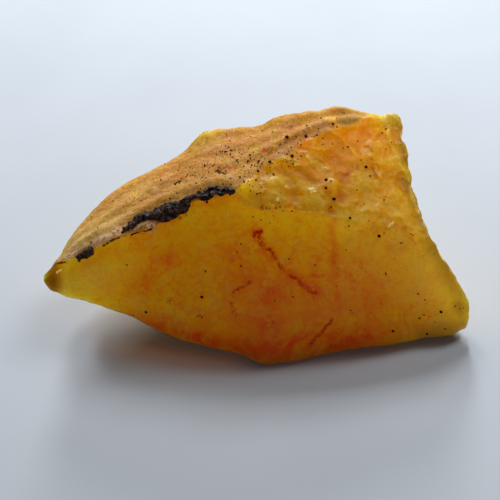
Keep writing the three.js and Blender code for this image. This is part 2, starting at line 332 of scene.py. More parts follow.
@dataclass(frozen=True)
class Effects:
    """The shader groups that several materials share."""

    mottle: bpy.types.NodeTree = field(default_factory=make_mottle_group)
    grain: bpy.types.NodeTree = field(default_factory=make_grain_group)

    def cloud(
        self, tree: Tree, size: float, low: float, high: float, seed: float, wander: float = 0.4,
        stretch: float = 1.0,
    ) -> Any:
        """Place the mottle effect in a material.

        Args:
            tree: The material's tree.
            size: The patches' size in millimetres.
            low: The noise value where the mask starts.
            high: The noise value where it is full.
            seed: A number that moves the pattern.
            wander: How much the patches' edges wander.
            stretch: How many times longer the patches are along the stone than across it.

        Returns:
            The mask's socket.
        """
        wires = {"Size": size, "Low": low, "High": high, "Seed": seed, "Wander": wander, "Stretch": stretch}
        return self._place(tree, self.mottle, wires, "Mask")

    def bump(self, tree: Tree, size: float, pits: float, depth: float, under: Any = None) -> Any:
        """Place the grain effect in a material, as a normal.

        Args:
            tree: The material's tree.
            size: The grain's size in millimetres.
            pits: How much round pits show in it.
            depth: The relief's height in millimetres.
            under: The normal's socket of a coarser relief that this one lies on, or None.

        Returns:
            The normal's socket.
        """
        height = self._place(tree, self.grain, {"Size": size, "Pits": pits}, "Height")
        wires = {"Height": height, "Distance": depth * MM, "Strength": 1.0}
        if under is not None:
            wires["Normal"] = under
        return tree.add("ShaderNodeBump", wires).outputs["Normal"]

    @staticmethod
    def _place(tree: Tree, group: bpy.types.NodeTree, wires: dict[str, Any], output: str) -> Any:
        """Place a group in a tree, set its inputs and give one of its outputs."""
        node = tree.add("ShaderNodeGroup", node_tree=group)
        for name, value in wires.items():
            tree.feed(node.inputs[name], value)
        return node.outputs[output]


def new_material(name: str) -> tuple[bpy.types.Material, Tree, bpy.types.Node]:
    """Start a material.

    Args:
        name: The material's name.

    Returns:
        The material, its tree and its shader node.
    """
    material = bpy.data.materials.new(name)
    material.use_nodes = True
    return material, Tree(material.node_tree), material.node_tree.nodes["Principled BSDF"]


# ---------------------------------------------------------------- finishes


class Mark(Enum):
    """The marks on the stone that its material reads."""

    AMBER = "amber"  # deep orange inside; on the low front it is partly painted shade
    HAZE = "haze"  # milky inside
    GLOW = "glow"  # painted glow: lighter colour where light would shine through from behind
    BROKEN = "broken"  # the fracture facet
    PALE = "pale"  # thin chipped edges, partly painted highlights along the crease and the right rim
    RICH = "rich"  # clear yellow hollows
    SKIN = "skin"  # the tan outer skin
    ORANGE = "orange"  # orange stains
    RUST = "rust"  # red iron veins
    CLAY = "clay"  # pinkish clay along the ridge
    BROWN = "brown"
    DIRT = "dirt"
    GLOSS = "gloss"  # glassy spots
    SPARK = "spark"  # painted sparkle: yellow highlight flecks under the ridge
    THIN = "thin"  # thin rims and the foot, darkened with painted shade so that they glow less
    BARE = "bare"  # where the skin has come off
    CHALK = "chalk"  # painted glints: near-white spots that stand for highlights
    CLEAR = "clear"  # where lamps shine through onto the floor


class Painter:
    """Lays tones over each other in one material, by clouds and by the marks kept on the mesh."""

    def __init__(self, tree: Tree, effects: Effects) -> None:
        """Read every mark in the material's tree."""
        self.tree = tree
        self.effects = effects
        self.mark = {mark: tree.attribute(mark.value) for mark in Mark}

    def cloud(self, *patches: float) -> Any:
        """Make a cloudy mask from a size, two limits, a seed, and where given a wander and a stretch."""
        return self.effects.cloud(self.tree, *patches)

    def part(self, mask: Any, share: float) -> Any:
        """Take a share of a mask."""
        return mask if share == 1.0 else self.tree.math("MULTIPLY", mask, share)

    def tint(self, mask: Any, under: Any, over: Colour, share: float = 1.0) -> Any:
        """Lay a share of a display colour over what is under it, where the mask says."""
        return self.tree.mix(self.part(mask, share), under, linear(over))

    def tones(self, under: Any, layers: tuple[tuple[Colour, float, tuple[float, ...]], ...]) -> Any:
        """Lay cloudy tones over what is under them.

        Args:
            under: The colour under them.
            layers: For each tone its display colour, how much of it shows, and its cloud.

        Returns:
            The colour's socket.
        """
        for colour, share, patches in layers:
            under = self.tint(self.cloud(*patches), under, colour, share)
        return under

    def edged(self, kind: Mark, size: float, seed: float, ragged: float = 0.5, soft: float = 0.2) -> Any:
        """Give a mark a crisp edge that wanders.

        Args:
            kind: The mark.
            size: The size of the edge's bays in millimetres.
            seed: A number that moves them.
            ragged: How far the edge wanders.
            soft: How soft it is.

        Returns:
            The mask's socket.
        """
        drift = self.tree.math("MULTIPLY_ADD", self.cloud(size, 0.3, 0.7, seed, 0.8), ragged, -ragged / 2)
        drift = self.tree.math("MULTIPLY", drift, self.tree.ramp(self.mark[kind], 0.02, 0.3))
        return self.tree.ramp(self.tree.math("ADD", self.mark[kind], drift), 0.5 - soft, 0.5 + soft)

    def mottled(self, kind: Mark, size: float, seed: float) -> Any:
        """Break a soft mark up into clouds."""
        cloud = self.tree.math("MULTIPLY_ADD", self.cloud(size, 0.3, 0.7, seed, 1.2), 0.4, 0.72)
        return self.tree.math("MULTIPLY", self.mark[kind], cloud, clamp=True)

    def web(self, size: float) -> Any:
        """Make a faint net of wandering thin lines, with meshes of a size in millimetres."""
        tree = self.tree
        place = tree.object_place(size)
        bent = tree.bend(place, 1.3, 1.6, 3.0)
        cells = tree.add("ShaderNodeTexVoronoi", {"Vector": bent, "Scale": 1.0}, feature="DISTANCE_TO_EDGE")
        line = tree.ramp(cells.outputs["Distance"], 0.09, 0.0)
        gaps = tree.add("ShaderNodeTexNoise", {"Vector": place, "Scale": 0.7}).outputs["Fac"]
        return tree.math("MULTIPLY", line, tree.ramp(gaps, 0.5, 0.68))

    def facets(self, size: float) -> tuple[Any, Any]:
        """Make the small faces of the broken surface, which lie in the hollows that the weathering cuts.

        Args:
            size: The faces' size in millimetres.

        Returns:
            The sockets of a tone, from 0 to 1, that differs from face to face, and of the faces' outlines.
        """
        tree = self.tree
        wires = {"Vector": tree.bend(tree.object_place(1.0), *BOWL_BEND), "Scale": 1.0 / size}
        cells = tree.add("ShaderNodeTexVoronoi", wires, feature="F1").outputs["Color"]
        tone = tree.add("ShaderNodeSeparateColor", {"Color": cells}).outputs[0]
        edge = tree.add("ShaderNodeTexVoronoi", wires, feature="DISTANCE_TO_EDGE").outputs["Distance"]
        return tone, tree.ramp(edge, 0.09, 0.0)


@dataclass(frozen=True)
class SapphireFinish:
    """The stone's colours, as display values, and how light passes through it."""

    honey: Colour = (255, 192, 2)
    lemon: Colour = (255, 202, 10)
    orange: Colour = (248, 150, 2)
    amber: Colour = (236, 68, 0)
    rust: Colour = (206, 52, 2)
    haze: Colour = (236, 196, 78)
    # the painted shade laid over thin rims and near the ground
    shade: Colour = (158, 108, 30)
    # the painted glow of light shining through
    glow: Colour = (255, 214, 20)
    break_deep: Colour = (204, 130, 0)
    break_yellow: Colour = (206, 146, 0)
    break_pale: Colour = (214, 162, 8)
    break_rust: Colour = (190, 80, 0)
    pale: Colour = (222, 178, 52)
    skin: Colour = (198, 141, 56)
    skin_orange: Colour = (202, 122, 44)
    skin_yellow: Colour = (206, 158, 58)
    skin_pink: Colour = (206, 149, 90)
    skin_deep: Colour = (150, 82, 20)
    skin_fleck: Colour = (240, 180, 84)
    skin_light: Colour = (254, 218, 136)
    skin_rust: Colour = (176, 88, 36)
    # the near-white colour of the painted glints
    chalk: Colour = (252, 226, 146)
    clay: Colour = (255, 206, 164)
    brown: Colour = (130, 60, 6)
    dirt: Colour = (44, 26, 16)
    facet_size: float = 2.0
    small_facet_size: float = 0.74
    skin_opaque: float = 0.75
    opaque: tuple[tuple[Mark, float], ...] = (
        (Mark.BROKEN, 0.1), (Mark.PALE, 0.22), (Mark.HAZE, 0.2), (Mark.THIN, 0.65), (Mark.BROWN, 0.4),
    )
    smooth_rough: tuple[float, float] = (0.3, 0.6)
    coat_rough: float = 0.16
    bend_of_light: float = 1.5
    shine: float = 0.07
    reach: Colour = (1.0, 0.75, 0.3)
    depth: float = 12.0

    def inside(self, paint: Painter) -> Any:
        """Make the milky crystal's colour.

        Args:
            paint: The painter of the stone's material.

        Returns:
            The colour's socket.
        """
        colour = paint.tones(linear(self.honey), (
            (self.lemon, 1.0, (6.0, 0.42, 0.66, 1.0)),
            (self.haze, 0.4, (0.9, 0.46, 0.7, 8.0, 0.8)),
            (self.orange, 0.6, (2.0, 0.46, 0.7, 4.0, 1.6)),
            (self.orange, 0.5, (0.6, 0.46, 0.7, 45.0, 1.2)),
        ))
        # painted glow where light shines through from behind
        colour = paint.tint(paint.mottled(Mark.GLOW, 1.8, 49.0), colour, self.glow)
        colour = paint.tint(paint.mottled(Mark.AMBER, 2.6, 51.0), colour, self.amber)
        colour = paint.tint(paint.mottled(Mark.HAZE, 1.0, 53.0), colour, self.haze)
        colour = paint.tint(paint.web(3.4), colour, self.amber, 0.35)
        colour = paint.tint(paint.web(1.7), colour, self.haze, 0.25)
        colour = paint.tones(colour, (
            (self.amber, 0.22, (0.4, 0.46, 0.66, 55.0, 1.2, 1.2)),
            (self.haze, 0.25, (0.2, 0.56, 0.7, 57.0, 0.6)),
        ))
        # painted sparkle: light yellow highlight flecks under the ridge
        sparkle_mask = paint.tree.math("MULTIPLY", paint.mark[Mark.SPARK], paint.cloud(0.3, 0.58, 0.66, 59.0))
        return paint.tint(sparkle_mask, colour, self.lemon, 0.6)

    def fracture(self, paint: Painter) -> Any:
        """Make the broken facet's colour, with a tone for each of its small faces.

        Args:
            paint: The painter of the stone's material.

        Returns:
            The colour's socket.
        """
        tree = paint.tree
        tone, edge = paint.facets(self.facet_size)
        small_tone, small_edge = paint.facets(self.small_facet_size)
        colour = paint.tint(tree.ramp(tone, 0.2, 0.6), linear(self.break_deep), self.break_yellow)
        colour = paint.tint(tree.ramp(tone, 0.5, 0.8), colour, self.break_pale, 0.8)
        colour = paint.tint(tree.ramp(small_tone, 0.4, 0.8), colour, self.break_pale, 0.4)
        outlines = tree.math("MAXIMUM", edge, paint.part(small_edge, 0.5))
        colour = paint.tint(outlines, colour, self.orange, 0.35)
        return paint.tones(colour, (
            (self.break_deep, 0.25, (0.5, 0.46, 0.66, 33.0, 1.0)),
            (self.skin_fleck, 0.3, (0.26, 0.58, 0.7, 34.0, 1.0)),
        ))

    def hide(self, paint: Painter) -> Any:
        """Make the skin's colour.

        Args:
            paint: The painter of the stone's material.

        Returns:
            The colour's socket.
        """
        colour = paint.tones(linear(self.skin), (
            (self.skin_orange, 0.8, (1.4, 0.45, 0.65, 11.0, 1.2, 1.2)),
            (self.skin_yellow, 1.0, (2.2, 0.48, 0.64, 15.0, 0.8, 1.3)),
            (self.skin_pink, 0.8, (1.6, 0.5, 0.6, 19.0, 1.2, 1.2)),
            (self.skin_orange, 0.5, (1.1, 0.54, 0.64, 23.0, 1.6, 1.2)),
        ))
        colour = paint.tint(paint.mottled(Mark.ORANGE, 0.7, 65.0), colour, self.skin_rust, 0.85)
        # painted glow on the skin where light shines through
        colour = paint.tint(paint.mottled(Mark.GLOW, 0.9, 66.0), colour, self.skin_light, 0.8)
        return paint.tones(colour, (
            (self.skin_deep, 0.3, (0.5, 0.5, 0.7, 47.0, 1.4)),
            (self.skin_deep, 0.45, (0.22, 0.42, 0.68, 67.0, 0.8)),
            (self.skin_fleck, 0.5, (0.26, 0.54, 0.66, 69.0, 0.8)),
        ))

    def surface(self, paint: Painter) -> Any:
        """Lay crystal, fracture, skin, veins, clay and dirt over each other, with painted glow, shade and
        glints.

        Args:
            paint: The painter of the stone's material.

        Returns:
            The colour's socket.
        """
        tree, mark = paint.tree, paint.mark
        inside = self.inside(paint)
        broken = self.fracture(paint)
        colour = tree.mix(paint.part(paint.edged(Mark.BROKEN, 0.8, 61.0, 0.4, 0.45), 0.9), inside, broken)
        # painted shade over thin rims and near the ground
        colour = paint.tint(mark[Mark.THIN], colour, self.shade, 0.9)
        colour = paint.tint(paint.edged(Mark.RICH, 0.6, 64.0, 0.7, 0.3), colour, self.break_yellow, 0.8)
        hide = self.hide(paint)
        skin = paint.edged(Mark.SKIN, 0.8, 71.0, 0.8, 0.22)

        stain = tree.math("MULTIPLY", mark[Mark.ORANGE], paint.cloud(0.8, 0.3, 0.56, 27.0, 1.0))
        halo = paint.tint(mark[Mark.BROKEN], linear(self.amber), self.break_rust)
        colour = tree.mix(paint.part(stain, 0.8), colour, halo)
        colour = tree.mix(skin, colour, hide)
        colour = paint.tint(paint.edged(Mark.PALE, 0.5, 63.0, 0.7, 0.35), colour, self.pale, 0.75)
        veins = paint.edged(Mark.RUST, 0.3, 73.0, 0.7, 0.4)
        veins = tree.math("MULTIPLY", veins, paint.cloud(0.5, 0.3, 0.5, 7.0, 1.2))
        colour = paint.tint(veins, colour, self.rust)
        band = paint.edged(Mark.CLAY, 0.5, 75.0, 0.9, 0.3)
        colour = paint.tint(band, colour, self.clay)
        worn_band = tree.math("MULTIPLY", band, paint.cloud(0.4, 0.5, 0.66, 76.0, 1.0))
        colour = paint.tint(worn_band, colour, self.skin)
        colour = paint.tint(mark[Mark.BROWN], colour, self.brown)
        # painted glints: near-white spots that stand for highlights
        colour = paint.tint(paint.edged(Mark.CHALK, 0.14, 77.0, 0.6, 0.25), colour, self.chalk)
        soil = paint.edged(Mark.DIRT, 0.2, 79.0, 0.6, 0.2)
        soil = tree.math("MULTIPLY", soil, paint.cloud(0.5, 0.34, 0.44, 35.0))
        return paint.tint(soil, colour, self.dirt)

    def make(self, effects: Effects) -> bpy.types.Material:
        """Make the stone's material.

        Args:
            effects: The shared shader groups.

        Returns:
            The material.
        """
        material, tree, shader = new_material("sapphire")
        paint = Painter(tree, effects)
        mark, inputs = paint.mark, shader.inputs
        colour = self.surface(paint)

        rough = tree.ramp(mark[Mark.SKIN], 0.0, 1.0, *self.smooth_rough)
        rough = tree.math("ADD", rough, paint.part(paint.cloud(0.9, 0.3, 0.7, 21.0), 0.12))
        sheen = tree.math("ADD", mark[Mark.GLOSS], paint.part(mark[Mark.BROKEN], 0.015))
        coat = tree.math("MULTIPLY", sheen, paint.cloud(0.7, 0.36, 0.5, 39.0), clamp=True)
        milky = tree.math("SUBTRACT", 1.0, paint.part(mark[Mark.SKIN], self.skin_opaque))
        for kind, share in self.opaque:
            milky = tree.math("SUBTRACT", milky, paint.part(mark[kind], share), clamp=True)
        tree.feed(inputs["Base Color"], colour)
        tree.feed(inputs["Roughness"], rough)
        tree.feed(inputs["Coat Weight"], coat)
        tree.feed(inputs["Subsurface Weight"], milky)
        coarse = effects.bump(tree, 0.5, 0.4, 0.08)
        tree.feed(inputs["Normal"], effects.bump(tree, 0.16, 0.3, 0.025, coarse))
        self.clear_shadow(material, paint, shader)
        inputs["Coat Roughness"].default_value = self.coat_rough
        inputs["IOR"].default_value = self.bend_of_light
        inputs["Specular IOR Level"].default_value = self.shine
        inputs["Subsurface Radius"].default_value = self.reach
        inputs["Subsurface Scale"].default_value = self.depth * MM
        return material

    def clear_shadow(self, material: bpy.types.Material, paint: Painter, shader: bpy.types.Node) -> None:
        """Let the lamps shine through the stone's thin end, so that it hardly darkens the floor.

        Args:
            material: The stone's material.
            paint: Its painter.
            shader: Its shader node.
        """
        tree = paint.tree
        shadow = tree.add("ShaderNodeLightPath").outputs["Is Shadow Ray"]
        gap = tree.add("ShaderNodeBsdfTransparent", {0: paint.mark[Mark.CLEAR]})
        seen = tree.add("ShaderNodeMixShader", {0: shadow, 1: shader.outputs[0], 2: gap.outputs[0]})
        tree.feed(material.node_tree.nodes["Material Output"].inputs["Surface"], seen.outputs[0])


@dataclass(frozen=True)
class CrustFinish:
    """The colours of the dark crust or of the specks, as display values, and how much they shine."""

    name: str = "dark_crust"
    dark: Colour = (20, 11, 8)
    brown: Colour = (84, 60, 50)
    grey: Colour = (136, 114, 104)
    shine: float = 0.12

    def make(self, effects: Effects) -> bpy.types.Material:
        """Make the crust's material.

        Args:
            effects: The shared shader groups.

        Returns:
            The material.
        """
        material, tree, shader = new_material(self.name)
        brown = effects.cloud(tree, 0.8, 0.42, 0.62, 3.0)
        grey = effects.cloud(tree, 0.4, 0.54, 0.7, 9.0)
        colour = tree.mix(brown, linear(self.dark), linear(self.brown))
        colour = tree.mix(tree.math("MULTIPLY", grey, 0.6), colour, linear(self.grey))
        tree.feed(shader.inputs["Base Color"], colour)
        tree.feed(shader.inputs["Roughness"], tree.ramp(brown, 0.0, 1.0, 0.5, 0.75))
        tree.feed(shader.inputs["Normal"], effects.bump(tree, 0.22, 0.5, 0.12))
        shader.inputs["Specular IOR Level"].default_value = self.shine
        return material


@dataclass(frozen=True)
class PaperFinish:
    """The colour of the pale floor."""

    white: Colour = (195, 200, 206)
    shade: Colour = (192, 197, 203)
    rough: float = 0.85

    def make(self, effects: Effects) -> bpy.types.Material:
        """Make the floor's material.

        Args:
            effects: The shared shader groups.

        Returns:
            The material.
        """
        material, tree, shader = new_material("paper")
        colour = tree.mix(effects.cloud(tree, 20.0, 0.35, 0.7, 2.0), linear(self.white), linear(self.shade))
        tree.feed(shader.inputs["Base Color"], colour)
        tree.feed(shader.inputs["Normal"], effects.bump(tree, 1.4, 0.2, 0.012))
        shader.inputs["Roughness"].default_value = self.rough
        return material


# ---------------------------------------------------------------- meshes


def as_object(name: str, mesh: bpy.types.Mesh) -> bpy.types.Object:
    """Put a mesh in the scene as an object of that name."""
    piece = bpy.data.objects.new(name, mesh)
    bpy.context.scene.collection.objects.link(piece)
    return piece


def copy_node(node: str, name: str) -> bpy.types.Object:
    """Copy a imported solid, in millimetres, with its loose triangles joined into a closed mesh.

    Args:
        node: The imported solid's name.
        name: The new object's name.

    Returns:
        The new object.
    """
    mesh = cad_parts[node].data.copy()
    mesh.transform(Matrix.Scale(1 / MM, 4))
    mesh.materials.clear()
    form = bmesh.new()
    form.from_mesh(mesh)
    bmesh.ops.remove_doubles(form, verts=form.verts, dist=0.002)
    bmesh.ops.join_triangles(
        form, faces=form.faces, angle_face_threshold=math.radians(25), angle_shape_threshold=math.radians(50)
    )
    form.to_mesh(mesh)
    form.free()
    return as_object(name, mesh)


def apply_modifiers(piece: bpy.types.Object) -> None:
    """Turn what an object's modifiers make into its plain mesh, and take them off."""
    graph = bpy.context.evaluated_depsgraph_get()
    made = bpy.data.meshes.new_from_object(piece.evaluated_get(graph))
    piece.modifiers.clear()
    piece.data = made


def refine(piece: bpy.types.Object, voxel: float, smoothing: int) -> None:
    """Round a faceted form off and cover it with an even fine mesh.

    Args:
        piece: The object.
        voxel: The mesh's spacing in millimetres.
        smoothing: How many times the mesh is smoothed.
    """
    piece.modifiers.new("round", "SUBSURF").levels = 1
    piece.modifiers["round"].render_levels = 1
    cover = piece.modifiers.new("cover", "REMESH")
    cover.mode = "VOXEL"
    cover.voxel_size = voxel
    smooth = piece.modifiers.new("smooth", "SMOOTH")
    smooth.factor = 0.5
    smooth.iterations = smoothing
    apply_modifiers(piece)


def places(piece: bpy.types.Object) -> np.ndarray:
    """Give the places of an object's vertices, one row each."""
    rows = np.empty(len(piece.data.vertices) * 3, dtype=np.float32)
    piece.data.vertices.foreach_get("co", rows)
    return rows.reshape(-1, 3).astype(float)


def directions(piece: bpy.types.Object) -> np.ndarray:
    """Give the outward directions at an object's vertices, one row each."""
    rows = np.empty(len(piece.data.vertices) * 3, dtype=np.float32)
    piece.data.vertex_normals.foreach_get("vector", rows)
    return rows.reshape(-1, 3).astype(float)


def step(values: np.ndarray, low: float, high: float) -> np.ndarray:
    """Rise smoothly from 0 at the low value to 1 at the high one, or fall if low is the larger."""
    share = np.clip((values - low) / (high - low), 0.0, 1.0)
    return share * share * (3.0 - 2.0 * share)


def clouds(place: np.ndarray, size: float) -> np.ndarray:
    """Give smooth noise of a size, from about -1 to 1, at each of the places."""
    return np.array([noise.fractal(Vector(row / size), 0.9, 2.0, 3) for row in place])


def keep(piece: bpy.types.Object, name: str, values: np.ndarray) -> None:
    """Keep one number for each vertex on the mesh, under a name."""
    layer = piece.data.attributes.new(name, "FLOAT", "POINT")
    layer.data.foreach_set("value", values.astype(np.float32))


def finish_piece(piece: bpy.types.Object, material: bpy.types.Material, slot: str, *nodes: str) -> None:
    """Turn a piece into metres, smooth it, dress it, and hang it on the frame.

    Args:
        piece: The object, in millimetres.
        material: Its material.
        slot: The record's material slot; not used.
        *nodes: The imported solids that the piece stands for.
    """
    piece.data.transform(Matrix.Scale(MM, 4))
    piece.data.materials.clear()
    piece.data.materials.append(material)
    piece.data.shade_smooth()
    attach(piece, "root")
    if nodes:
        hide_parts(*nodes)
    log.info("%s: %d faces", piece.name, len(piece.data.polygons))


# ---------------------------------------------------------------- weathering


def make_weather_tree() -> bpy.types.NodeTree:
    """Build the Geometry Nodes tree that wears a surface.

    It moves each vertex along its direction by the sum of swells, ledges, shell-shaped chips and grain, each
    held where the mesh's own numbers ask for it, and keeps the surface above the ground.
    """
    inputs = {
        "Geometry": "Geometry", "Swell Size": 3.0, "Swell Height": 0.1,
        "Ledge Size": 3.2, "Ledge Height": 0.1, "Ledge Count": 5.0, "Chip Size": 1.8, "Chip Depth": 0.2,
        "Grain Size": 0.6, "Grain Height": 0.05, "Material": "Material",
    }
    tree, start, end = open_group("weather", "GeometryNodeTree", inputs, {"Geometry": "Geometry"})
    given = start.outputs
    place = tree.add("GeometryNodeInputPosition").outputs[0]

    def rough(where: Any, size: Any, detail: float) -> Any:
        """Make noise of a size, from -1 to 1."""
        scale = tree.math("DIVIDE", 1.0, size)
        wires = {"Vector": where, "Scale": scale, "Detail": detail, "Roughness": 0.55}
        return tree.math("MULTIPLY_ADD", tree.add("ShaderNodeTexNoise", wires).outputs[0], 2.0, -1.0)

    swell = tree.math("MULTIPLY", rough(place, given["Swell Size"], 2.0), given["Swell Height"])

    drawn = tree.vector("MULTIPLY", tree.along_grain(place), (0.8, 1.0, 1.0))
    climb = tree.math("MULTIPLY", rough(drawn, given["Ledge Size"], 3.0), given["Ledge Count"])
    climb = tree.math("SUBTRACT", tree.math("FRACT", climb), 0.5)
    ledge = tree.math("MULTIPLY", tree.math("MULTIPLY", climb, given["Ledge Height"]), tree.held("ledged"))

    bent = tree.bend(place, *BOWL_BEND)

    def bowls(size: Any) -> Any:
        """Make shell-shaped hollows of a size that meet in crisp edges, from about -0.3 to 0.5."""
        wires = {"Vector": bent, "Scale": tree.math("DIVIDE", 1.0, size)}
        cells = tree.add("ShaderNodeTexVoronoi", wires, feature="F1").outputs["Distance"]
        return tree.math("SUBTRACT", tree.math("POWER", cells, 2.0), 0.3)

    fine = tree.math("MULTIPLY", bowls(tree.math("MULTIPLY", given["Chip Size"], 0.37)), 0.3)
    chip = tree.math("MULTIPLY", tree.math("ADD", bowls(given["Chip Size"]), fine), given["Chip Depth"])
    chip = tree.math("MULTIPLY", chip, tree.held("chipped"))

    grain = tree.math("MULTIPLY", rough(place, given["Grain Size"], 3.0), given["Grain Height"])
    grain = tree.math("MULTIPLY", grain, tree.held("grainy"))

    height = tree.math("ADD", tree.math("ADD", swell, ledge), tree.math("ADD", chip, grain))
    height = tree.math("MULTIPLY", height, tree.held("worn"))
    height = tree.math("SUBTRACT", height, tree.held("groove"))
    push = tree.vector("SCALE", tree.add("GeometryNodeInputNormal").outputs[0], height)
    moved = tree.add("GeometryNodeSetPosition", {"Geometry": given["Geometry"], "Offset": push})
    realized = tree.add("GeometryNodeRealizeInstances", {"Geometry": moved.outputs[0]})
    wires = {"Geometry": realized.outputs[0], "Material": given["Material"]}
    dressed = tree.add("GeometryNodeSetMaterial", wires)
    tree.feed(end.inputs[0], dressed.outputs[0])
    return tree.tree


def run_tree(piece: bpy.types.Object, tree: bpy.types.NodeTree, values: dict[str, Any]) -> None:
    """Run a Geometry Nodes tree on an object and keep what it makes as the object's plain mesh.

    Args:
        piece: The object.
        tree: The tree.
        values: The tree's inputs by name.
    """
    modifier = piece.modifiers.new(tree.name, "NODES")
    modifier.node_group = tree
    for item in tree.interface.items_tree:
        if item.in_out == "INPUT" and item.name in values:
            modifier[item.identifier] = values[item.name]
    apply_modifiers(piece)


@dataclass(frozen=True)
class Wear:
    """How much a surface is worn, with sizes and heights in millimetres."""

    swell_size: float = 3.0
    swell_height: float = 0.12
    ledge_size: float = 2.0
    ledge_height: float = 0.024
    ledge_count: float = 3.0
    chip_size: float = 2.0
    chip_depth: float = 0.32
    grain_size: float = 0.8
    grain_height: float = 0.07

    def weather(
        self, piece: bpy.types.Object, tree: bpy.types.NodeTree, material: bpy.types.Material
    ) -> None:
        """Wear an object's surface.

        Args:
            piece: The object, whose mesh keeps the numbers that the tree reads.
            tree: The weathering tree.
            material: The material that the surface gets.
        """
        values = {part.name.replace("_", " ").title(): getattr(self, part.name) for part in fields(self)}
        values["Material"] = material
        run_tree(piece, tree, values)


# ---------------------------------------------------------------- the stone


@dataclass(frozen=True)
class Trace:
    """A line of one kind of mark over the stone, through view points.

    Its half width and how deep it is cut are in millimetres; a depth below zero makes a raised line.
    """

    mark: Mark
    points: tuple[Point, ...]
    width: float
    strength: float = 1.0
    depth: float = 0.0


@dataclass(frozen=True)
class Blotch:
    """A round patch at a view point.

    Its radius and how deep it is sunk are in millimetres; a depth below zero makes a swelling.
    """

    point: Point
    radius: float
    strength: float = 1.0
    depth: float = 0.0


def blotches(*rows: tuple[float, ...]) -> tuple[Blotch, ...]:
    """Make patches from rows of a view point's two numbers, a radius, a strength and, if sunk, a depth."""
    return tuple(Blotch((row[0], row[1]), *row[2:]) for row in rows)


